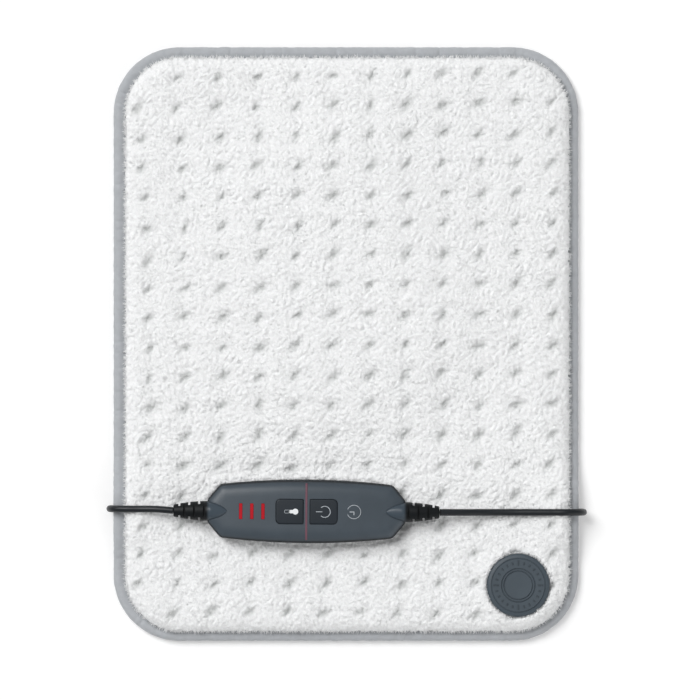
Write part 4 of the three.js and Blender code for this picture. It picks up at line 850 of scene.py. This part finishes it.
def make_fibres(plan, height, used):
    """Fibres that stand out of the pile, over its rim and over the rim of the connector."""
    random = np.random.default_rng(SEED + 41)
    fall_y, fall_x = np.gradient(height)
    to_cap = CONNECTOR - plan
    past_cap = np.abs(to_cap) - CAP_RADIUS
    rim = used & (inset(plan) - pile_inset(plan) < 1.6)
    beside_cap = used & (past_cap > 0.3) & (past_cap < 1.5)
    open_pile = used & ~rim & (past_cap > 1.5)
    roots, ways, lengths = [], [], []
    for region, (count, reach), spread, rise, lean in (
            (open_pile, OPEN_FIBRES, 1, 1, -0.5 * (fall_x + 1j * fall_y)),
            (rim, RIM_FIBRES, 0.6, 0.5, -1.5 * inwards(plan)),
            (beside_cap, CAP_FIBRES, 0.5, 1, 1.3 * to_cap / np.abs(to_cap))):
        rows, columns = np.nonzero(region)
        chosen = random.integers(0, len(rows), count)
        at = rows[chosen], columns[chosen]
        way = random.normal(0, 1, (len(chosen), 3)) * (spread, spread, 1)
        way[:, 2] = (np.abs(way[:, 2]) * 0.5 + 0.35) * rise
        ways.append(way + at_height(lean[at], 0))
        roots.append(at_height(plan[at], height[at]))
        lengths.append(reach * random.uniform(0.6, 1.15, len(chosen)))
    lengths = np.concatenate(lengths)[:, None]
    thickness = random.uniform(0.14, 0.26, len(lengths))[:, None]
    strands("pile_fibres", np.concatenate(roots), np.concatenate(ways), lengths, thickness)


def pile_height(plan, slots, dips, step):
    """Height of the quilted pile on a flat pad."""
    shape = plan.shape
    rise = np.clip((inset(plan) - pile_inset(plan) + 0.5) / CROWN_RISE, 0, 1)
    height = PILE_START + (CROWN_TOP - PILE_START) * np.sqrt(1 - (1 - rise) ** 2)
    height -= SLOT_DEPTH * slots + DIP_DEPTH * dips
    for size, seed, depth in CLUMPS:
        height += 2 * depth * np.abs(band_noise(shape, step, size, seed))
    height += 0.42 * band_noise(shape, step, 1.7, 4) - 0.75
    return height + 0.15 * np.random.default_rng(SEED + 8).standard_normal(shape)


def press_under_case(plan, height):
    """Lays the pile flat under the controller, and lets it well up beside it."""
    outline = case_outline()
    order = np.argsort(np.abs(outline.real), kind="stable")
    half_length, half_width = np.abs(outline.real)[order], np.abs(outline.imag)[order]
    along = np.abs(plan.real - CASE.real)
    across = np.abs((plan - CASE).imag - (plan - CASE).real * math.sin(CASE_TURN))
    inside = (across < np.interp(along, half_length, half_width)) & (along < CASE_LENGTH / 2)
    near = (along < CASE_LENGTH / 2 + 12) & (across < CASE_WIDTH / 2 + 12)
    beside = np.full(plan.shape, 99.0)
    beside[near] = distance_to(outline, along[near] + 1j * across[near])
    beside = np.where(inside, -beside, beside)
    pressed_up = 0.1 + 1.6 * np.tanh((plan.imag - CASE.imag) / 8)
    height = height + pressed_up * np.exp(-(((beside - 2) / 3) ** 2)) * (beside > -2)
    below = CASE_Z - 0.1 + 2.2 * np.clip(beside + 1, 0, 1.5)
    return np.where(beside < 0.5, np.minimum(height, below), height)


def recess_cap(plan, height, ragged):
    """Lays the pile under the connector's cap, and lets it swell round it."""
    past_cap = np.abs(plan - CONNECTOR) - CAP_RADIUS
    recess = np.clip((1 + ragged - past_cap) / 1.4, 0, 1)
    height = height + 1.2 * np.exp(-(((past_cap - 3) / 3.5) ** 2))
    return height * (1 - recess) + np.minimum(height, 14.8) * recess


def make_front():
    step = 0.7
    plan, used = pad_sheet(step)
    warp = band_noise(plan.shape, step, 4, 6) + 1j * band_noise(plan.shape, step, 4, 7)
    slots, dips = tuft_relief(plan + 0.8 * warp, DIP_WIDTH)
    height = press_under_case(plan, pile_height(plan, slots, dips, step))
    height = recess_cap(plan, height, 0.5 * band_noise(plan.shape, step, 3, 5)) + lift(plan)
    piece = sheet_object("pile_front", plan, height, used, "pile")
    # Painted shade: how deep each point lies in a tuft slot, which greys the pile's colour there
    mark(piece, "painted_hollow_shade", np.clip(slots * 0.9, 0, 1)[used])
    close_under(piece)
    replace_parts(piece, "front_cover")
    make_fibres(plan, height, used)


def round_hole(plan, used, radius, step):
    """Opens a round hole for the connector, with the points beside it moved on to its edge."""
    far = np.abs(plan - CONNECTOR)
    grown = np.where(far < radius, radius / np.maximum(far, 1), 1)
    return CONNECTOR + (plan - CONNECTOR) * grown, used & (far >= radius - 0.75 * step)


def make_back():
    """The back cloth, raised clear of the cords, the coil and the plugs under it."""
    step = 1.8
    plan, used = round_hole(*pad_sheet(step, BACK_EDGE), CAP_RADIUS + 0.5, step)
    height = lift(plan)
    for route in (CONNECTING_ROUTE[9:], MAINS_ROUTE[6:], TAIL_ROUTE):
        for x, y, z in catmull(route, 4):
            beside = eased(np.abs(plan - complex(x, y)), CORD_DIAMETER * 0.75, 7)
            height = np.maximum(height, (z + CORD_DIAMETER / 2 + 0.4) * beside)
    top, radius, fall = COIL_HOLLOW
    height = np.maximum(height, top * eased(np.abs(plan - COIL), radius, fall))
    for middle, top, (half_x, half_y), fall in PLUG_HOLLOWS:
        past_x = np.maximum(np.abs((plan - middle).real) - half_x, 0)
        past_y = np.maximum(np.abs((plan - middle).imag) - half_y, 0)
        height = np.maximum(height, top * eased(np.hypot(past_x, past_y), 0, fall))
    rim = np.clip((inset(plan) - BINDING_WIDTH) / 4, 0, 1)
    slots, dips = tuft_relief(plan, 6)
    height = height + BACK_TUCK * (1 - rim) ** 2
    height = height + 0.6 * (slots + dips) * np.clip((inset(plan) - 14) / 6, 0, 1)
    piece = sheet_object("back_cloth", plan, height, used, "backing", flip=True)
    thicken(piece, BACK_CLOTH)
    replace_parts(piece, "back_cover")


def make_carrier():
    """The fleece that carries the heating wire, lying on the back cover's batting."""
    step = 3.5
    plan, used = round_hole(*pad_sheet(step, CARRIER_INSET), CARRIER_HOLE, step)
    used = used & ~((np.abs(plan.real - 77) < 22) & (np.abs((plan - CONNECTOR).imag) < 13))
    height = CARRIER_LEVEL + lift(plan) + 0.08 * band_noise(plan.shape, step, 12, 20)
    piece = sheet_object("carrier_fleece", plan, height, used, "fleece", flip=True)
    thicken(piece, CARRIER_CLOTH)
    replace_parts(piece, "heating_carrier")


def pad_outline(step):
    """Places and outward directions round the pad: a corner and the straight after it, four times."""
    places, outward = [], []
    x = PAD_WIDTH / 2 - PAD_CORNER
    y = PAD_LENGTH / 2 - PAD_CORNER
    arc = round(math.radians(90) * PAD_CORNER / step)
    for way, middle, length in ((-1j, x - 1j * y, 2 * y), (1, x + 1j * y, 2 * x),
                                (1j, -x + 1j * y, 2 * y), (-1, -x - 1j * y, 2 * x)):
        corner = way * np.exp(0.5j * math.pi * np.arange(arc) / arc)
        runs = round(length / step)
        straight = np.full(runs, 1j * way)
        places += [middle + PAD_CORNER * corner,
                   middle + straight * (PAD_CORNER + 1j * length * np.arange(runs) / runs)]
        outward += [corner, straight]
    return np.concatenate(places)[:, None], np.concatenate(outward)[:, None]


def make_binding():
    step = 0.8
    middle = (BINDING_TOP + BINDING_BOTTOM) / 2
    round_ = (BINDING_TOP - BINDING_BOTTOM) / 2
    edge = circle(round_ + 1j * middle, round_, 20)[5:16]
    section = [*BINDING_EDGE, *zip(edge.real, edge.imag)]
    section += [(6, BINDING_BOTTOM), (BINDING_WIDTH, BINDING_BOTTOM)]
    inner = [(BINDING_WIDTH, BINDING_BOTTOM + BINDING_TAPE), (round_, BINDING_BOTTOM + BINDING_TAPE),
             (BINDING_TAPE, middle), (round_, BINDING_TOP - BINDING_TAPE), (6, 7.62 - BINDING_TAPE),
             (BINDING_WIDTH, 6.6 - BINDING_TAPE)]
    places, outward = pad_outline(step)
    count = len(places)
    folds = band_noise((32, count), step, 3.6, 11)
    slow = band_noise((8, count), step, 13, 12)
    random = np.random.default_rng(SEED + 13)
    wrinkles = np.zeros(count)
    for _ in range(WRINKLES):
        away = (np.arange(count) - random.uniform(0, count) + count / 2) % count - count / 2
        wrinkles += random.uniform(0.15, 0.55) * np.exp(-(away * step / random.uniform(0.7, 1.4)) ** 2)
    depth, height = np.array([*section, *inner]).T
    free = np.clip((BINDING_WIDTH - depth) / 3, 0, 1) * (np.arange(len(depth)) < len(section))
    puff = (0.08 * folds[np.arange(len(depth)) // 2] + 0.1 * slow[0]).T
    depths = depth + (puff - 0.25 * wrinkles[:, None]) * free * np.minimum(depth / round_ - 1, 0)
    heights = height + (puff - wrinkles[:, None]) * free * (height - middle) / round_
    rings = at_height(places - outward * depths, heights + lift(places))
    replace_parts(skin("satin_binding", rings, "binding", loop=True), "edge_binding")


# Connector

def make_cap():
    profile = list(CAP_SIDE)
    for groove in CAP_GROOVES:
        edge = CAP_TOP - 0.2 if groove == CAP_GROOVES[0] else CAP_TOP
        profile += [(groove + 0.42, edge), (groove + 0.2, CAP_TOP - 0.6), (groove - 0.2, CAP_TOP - 0.6),
                    (groove - 0.42, CAP_TOP), (groove - 0.8, CAP_TOP)]
    radius, height = np.array([*profile, (0.01, CAP_TOP - 0.1)]).T[:, :, None]
    rings = at_height(circle(CONNECTOR, radius, 128), height)
    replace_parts(skin("cap_disc", rings, "disc", crisp=40), "connector_cap")


def make_cap_ticks():
    """Small raised ticks in a ring on the cap, a longer one at every quarter, darker than the cap by painted
    shade.
    """
    points = []
    faces = []
    for k, way in enumerate(circle(0, 1, CAP_TICKS)):
        inner, outer = (13.9, 15.7) if k % 6 else (13.0, 16.6)
        for height, draft in ((CAP_TOP - 0.05, 0), (CAP_TOP + 0.4, 0.15)):
            near, far, half = inner + draft, outer - draft, 0.5j * (1 - 2 * draft)
            corners = np.array([near - half, far - half, far + half, near + half])
            points.extend(at_height(CONNECTOR + corners * way, height))
        low, high = 8 * k, 8 * k + 4
        faces.append([high, high + 1, high + 2, high + 3])
        faces += [[low + i, low + (i + 1) % 4, high + (i + 1) % 4, high + i] for i in range(4)]
    mesh_object("cap_ticks", points, faces, "disc", material=SHADED_TICKS, smooth=False)


# Controller

def case_ring(share, grow=0):
    """The case's outline, grown and drawn towards its middle line by a share, and its distances inside."""
    outline = case_outline()
    if grow:
        outline = drawn_in(outline, -grow)
    ring = outline.real * (1 - CASE_END / CASE_LENGTH * share) + 1j * outline.imag * (1 - share)
    return ring, distance_to(outline, ring)


def upper_height(depth):
    """Height of the upper case above the parting at a distance inside its outline, without its crown."""
    round_ = CASE_HEIGHT - PARTING
    share = np.clip(depth / (0.95 * round_), 0, 1) ** 0.74
    return round_ * np.sqrt(1 - (1 - share) ** 2)


def crowned(x, above):
    """Height of a point of the upper case, which falls towards the case's ends."""
    along = x / (CASE_LENGTH / 2)
    return PARTING + above * (1 - CASE_DROP / (CASE_HEIGHT - PARTING) * along * along)


def case_top(x):
    return crowned(x, CASE_HEIGHT - PARTING)


def upper_surface(x, depth):
    return np.maximum(crowned(x, upper_height(depth)), UPPER_EDGE)


def lower_surface(x, depth):
    return np.minimum(3.6 * (1 - np.sqrt(1 - (1 - np.clip(depth / 3.2, 0, 1)) ** 2)), LOWER_EDGE)


def case_half(name, flat, surface, rim, grow=0):
    """A case half: its flat parting face, a small edge, and the surface by distance from the outline."""
    plan = [case_ring(1)[0], case_ring(rim, grow)[0]]
    heights = [np.full(CASE_POINTS, flat)] * 2
    for share in CASE_SHARES:
        ring, depth = case_ring(share, grow)
        plan.append(ring)
        heights.append(surface(ring.real, depth))
    half = skin(name, on_case(plan, heights), "shell", caps=False, flip=flat < PARTING)
    mesh = bmesh.new()
    mesh.from_mesh(half.data)
    bmesh.ops.remove_doubles(mesh, verts=mesh.verts, dist=0.001 * MM)
    bmesh.ops.recalc_face_normals(mesh, faces=mesh.faces)
    mesh.to_mesh(half.data)
    mesh.free()
    return half


def prism(outline, low, high):
    return skin("cutter", on_case([outline, outline], [[low], [high]]), "shell")


def boot_body(name, side, grow):
    """A strain relief: an ogive nose that sinks into the case's top, and a round tapering tail."""
    stations = []
    for u in (0.004, 0.03, 0.08, 0.14, 0.22, 0.32, 0.44, 0.58, 0.74, 0.88, 1):
        x = BOOT_NOSE_END - BOOT_NOSE * (1 - u)
        half_width = 6.15 * (1 - (1 - u) ** 2) ** 0.6
        half_height = case_top(x) + 0.05 + 2.8 * u ** 0.8 - BOOT_AXIS
        stations.append((x, half_width, half_height, 3.2 - 1.1 * u))
    stations += [(x, radius, radius, 2) for x, radius in BOOT_RIBS]
    grown = np.array(stations) * (side, 1, 1, 1) + (0, grow, grow, 0)
    return skin(name, on_case(*loft(grown, 0, BOOT_AXIS, 72)), "rubber_boot", flip=side < 0)


def make_upper_case():
    shell = case_half("case_upper", PARTING + SEAM, upper_surface, 0.012)
    keys = [key_outline(TEMPERATURE_X, -1, KEY_GAP), key_outline(POWER_X, 1, KEY_GAP)]
    cutters = [prism(outline, CUT_LOW, CUT_HIGH) for outline in keys]
    cutters += [boot_body("cutter", side, BOOT_GAP) for side in (-1, 1)]
    cutters += [prism(level_outline(x, LEVEL_GAP), CUT_LOW, CUT_HIGH) for x in LEVEL_PLACES]
    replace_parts(carve(shell, cutters), "upper_shell")


def make_lower_case():
    shell = case_half("case_lower", PARTING - SEAM, lower_surface, 0.022, LOWER_PROUD)
    cutters = [boot_body("cutter", side, BOOT_GAP) for side in (-1, 1)]
    for screw in SCREWS:
        cutters.append(prism(circle(screw, SCREW_HEAD / 2 + 0.3, 32), -2, 2.4))
    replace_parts(carve(shell, cutters), "lower_shell")


def boot_slots(side):
    """Slots from both sides, and half a pitch on from above and below, with a core left between them."""
    half = BOOT_SLOT_WIDTH / 2
    whole = (-BOOT_REACH, BOOT_REACH)
    for slot_x, core in BOOT_SLOTS:
        gaps = ((core, BOOT_REACH), (-BOOT_REACH, -core))
        cuts = [(slot_x, gap, whole) for gap in gaps]
        cuts += [(slot_x - BOOT_SLOT_PITCH / 2, whole, gap) for gap in gaps]
        for x, (near, far), (low, high) in cuts:
            corners = np.array([-half + 1j * near, half + 1j * near, half + 1j * far, -half + 1j * far])
            yield prism(side * x + corners, BOOT_AXIS + low, BOOT_AXIS + high)


def make_boots():
    for name, node, side in (("boot_mains", "mains_boot", -1), ("boot_pad", "pad_boot", 1)):
        boot = carve(boot_body(name, side, 0), list(boot_slots(side)))
        from_middle = np.array([abs(vertex.co.x / MM - CASE.real) for vertex in boot.data.vertices])
        mark(boot, "nose", from_middle < BOOT_NOSE_END + 1)
        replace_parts(boot, node)


def case_piece(name, outline, levels, top, slot, body, crisp):
    """A piece that stands in the case, with its outline drawn in by the depth of each level under its top."""
    plan = [outline(-depth) for depth, _ in levels]
    return skin(name, on_case(plan, top + np.array(levels)[:, 1:]), slot, body, crisp)


def key_top(x):
    return case_top(x) + BUTTON_PROUD


def make_key(name, node, x, round_side, body):
    outline = partial(key_outline, x, round_side)
    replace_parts(case_piece(name, outline, KEY_LEVELS, key_top(x), "key", body, 50), node)


def make_level_windows():
    for k, x in enumerate(LEVEL_PLACES, 1):
        outline = partial(level_outline, x)
        lens = case_piece(f"lens_{k}", outline, LENS_LEVELS, case_top(x), "red_light", BASE, 40)
        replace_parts(lens, f"level_window_{k}")


def make_accent_line():
    """The red line, following the case's crown across it."""
    across = np.linspace(-LINE_REACH, LINE_REACH, 81)
    height = PARTING + upper_height(CASE_WIDTH / 2 - np.abs(across)) + 0.03
    plan = np.stack([-LINE_SEEN / 2 + 1j * across, LINE_SEEN / 2 + 1j * across], 1)
    faces = [(2 * k, 2 * k + 1, 2 * k + 3, 2 * k + 2) for k in range(len(across) - 1)]
    line = mesh_object("red_line", on_case(plan, height[:, None]).reshape(-1, 3), faces, "accent")
    thicken(line, LINE_THICKNESS)
    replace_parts(line, "accent_line")


def flat_shape(name, loops, height, thickness, material, body):
    """A thin printed shape on a key or the case, from closed outlines; inner ones are holes."""
    curve = bpy.data.curves.new(name, "CURVE")
    curve.dimensions = "2D"
    curve.fill_mode = "BOTH"
    curve.extrude = thickness / 2 * MM
    for loop in loops:
        add_spline(curve, at_height(np.array(loop), 0)).use_cyclic_u = True
    drawn = new_object(name, curve)
    bpy.context.view_layer.update()
    mesh = final_mesh(drawn)
    bpy.data.objects.remove(drawn)
    for vertex in mesh.vertices:
        x, y, z = vertex.co / MM
        vertex.co = on_case(complex(x, y), z + height) * MM
    place(new_object(name, mesh), "key", body, material)


def print_thermometer():
    height = key_top(TEMPERATURE_X) + PRINT_PROUD
    bulb_x = -7.3
    bulb = 1.95
    stem = 1.15j
    neck = -14.6
    level = -11.2
    angle = math.pi - math.asin(stem.imag / bulb)
    arc = bulb_x + bulb * np.exp(1j * np.linspace(-angle, angle, 40))
    filled = [*arc, level + stem, level - 0.5 - stem]
    flat_shape("thermometer_fill", [filled], height, PRINT_THICKNESS, PRINT, TEMPERATURE_KEY)
    tube = np.array([level + 0.3 + stem, neck + 0.5 + stem, neck + stem - 0.5j, neck + 0.5j - stem,
                     neck + 0.5 - stem, level + 0.3 - stem])
    loops = [tube, drawn_in(tube, 0.32)]
    flat_shape("thermometer_tube", loops, height, PRINT_THICKNESS, SOFT_PRINT, TEMPERATURE_KEY)


def print_power():
    height = key_top(POWER_X) + PRINT_PROUD
    ring_x = 12.2
    gap = math.radians(48)
    arc = -np.exp(1j * np.linspace(gap, 2 * math.pi - gap, 41))
    band = [*(ring_x + 3.9 * arc), *(ring_x + 3.45 * arc[::-1])]
    flat_shape("power_ring", [band], height, PRINT_THICKNESS, SOFT_PRINT, POWER_KEY)
    bar = [6.4 + 0.23j, 6.4 - 0.23j, 10.6 - 0.23j, 10.6 + 0.23j]
    flat_shape("power_bar", [bar], height, PRINT_THICKNESS, SOFT_PRINT, POWER_KEY)


def print_timer():
    x = 31.6
    height = case_top(x) + TIMER_PROUD
    ring = [circle(x, 4.7), circle(x, 4.3)]
    flat_shape("timer_ring", ring, height, TIMER_THICKNESS, SOFT_PRINT, BASE)
    hands = x + np.array([-2.9 + 0.3j, -2.9 - 0.3j, -0.3 - 0.3j, -0.3 - 2.1j, 0.3 - 2.1j, 0.3 + 0.3j])
    flat_shape("timer_hands", [hands], height, TIMER_THICKNESS, SOFT_PRINT, BASE)


# Plugs and cord tie

def ribbed(start, end, root, tip, ribs):
    """A tapering strain relief's places along X, with shallow grooves between its ribs."""
    profile = [(start, 0.01), (start, root - 0.3), (start + 0.3, root)]
    for k in range(ribs):
        for share, low in ((0.6, 0), (0.68, 0.6), (0.92, 0.6), (1, 0)):
            along = (k + share) / ribs
            profile.append((start + 0.3 + (end - start - 0.6) * along, root + (tip - root) * along - low))
    return [(x, radius, radius, 2) for x, radius in [*profile, (end, tip - 0.3), (end, 0.01)]]


def plug_piece(name, stations, y, z, count=48, caps=True):
    return skin(name, at_height(*loft(stations, y, z, count)), "plug_rubber", crisp=40, caps=caps)


def make_mains_plug():
    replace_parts(plug_piece("plug_body", MAINS_PLUG_BODY, *MAINS_PLUG), "mains_plug")
    sleeve = plug_piece("plug_sleeve", ribbed(20, 49.7, 5, 3.2, 7), *MAINS_PLUG, 40, False)
    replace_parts(sleeve, "plug_relief")


def make_pad_plug():
    body = [(71.7, 9, 2.9, 6), (72, 9.8, 3.3, 6), (72.8, 10.6, 3.6, 6), (74, 11, 3.7, 6)]
    for x in (77, 79.6, 82.2, 84.8):
        body += [(x, 11, 3.7, 6), (x + 0.3, 10.4, 3.5, 6), (x + 1.1, 10.4, 3.5, 6), (x + 1.4, 11, 3.7, 6)]
    body += [(93.2, 11, 3.7, 6), (95.6, 11, 3.7, 6)]
    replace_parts(plug_piece("connector_plug", body, *PAD_PLUG), "pad_plug")
    nose = [(93, 7.2, 2.1, 8), (104.8, 7.2, 2.1, 8), (105.2, 7, 1.9, 8)]
    plug_piece("connector_plug_nose", nose, *PAD_PLUG)
    plug_piece("connector_plug_sleeve", ribbed(59.7, 72, 2.9, 3.5, 4), *PAD_PLUG, 32, False)


def make_tie():
    """A strap round the coil's turns, as a thin band."""
    upper = [(-TIE_HALF, 0.22), (0.2 - TIE_HALF, 0.38), (TIE_HALF - 0.2, 0.38), (TIE_HALF, 0.22)]
    across, out = np.array([*upper, *[(width, -height) for width, height in reversed(upper)]]).T
    left, right = TIE_LEFT + TIE_CORNER, TIE_RIGHT - TIE_CORNER
    low, high = 1j * (TIE_LOW + TIE_CORNER), 1j * (TIE_HIGH - TIE_CORNER)
    rings = []
    for middle, start in ((right + low, -90), (right + high, 0), (left + high, 90), (left + low, 180)):
        for k in range(9):
            side = middle + (TIE_CORNER + out) * np.exp(1j * math.radians(start + 90 * k / 8))
            bow = 0.12 * math.sin(2.1 * len(rings))
            rings.append(np.stack([side.real, COIL.imag + across + bow, side.imag], 1))
    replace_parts(skin("tie_strap", np.array(rings), "tie", crisp=50, loop=True), "cord_tie")


# Finishes of the nodes that are carried over

def dress_nodes():
    slots = {entry["node"]: entry["material_slot"] for entry in frame["record"]["subparts"]}
    for node, obj in frame["nodes"].items():
        obj.data.materials.clear()
        obj.data.materials.append(MATERIALS[slots[node]])


make_camera()
make_floor()
make_light()
make_cap()
make_cap_ticks()
make_upper_case()
make_lower_case()
make_boots()
make_key("key_temperature", "temperature_button", TEMPERATURE_X, -1, TEMPERATURE_KEY)
make_key("key_power", "power_button", POWER_X, 1, POWER_KEY)
make_level_windows()
make_accent_line()
print_thermometer()
print_power()
print_timer()
make_front()
make_back()
make_carrier()
make_binding()
make_mains_plug()
make_pad_plug()
make_tie()
make_cords()
dress_nodes()

bpy.context.scene.view_settings.view_transform = "Standard"
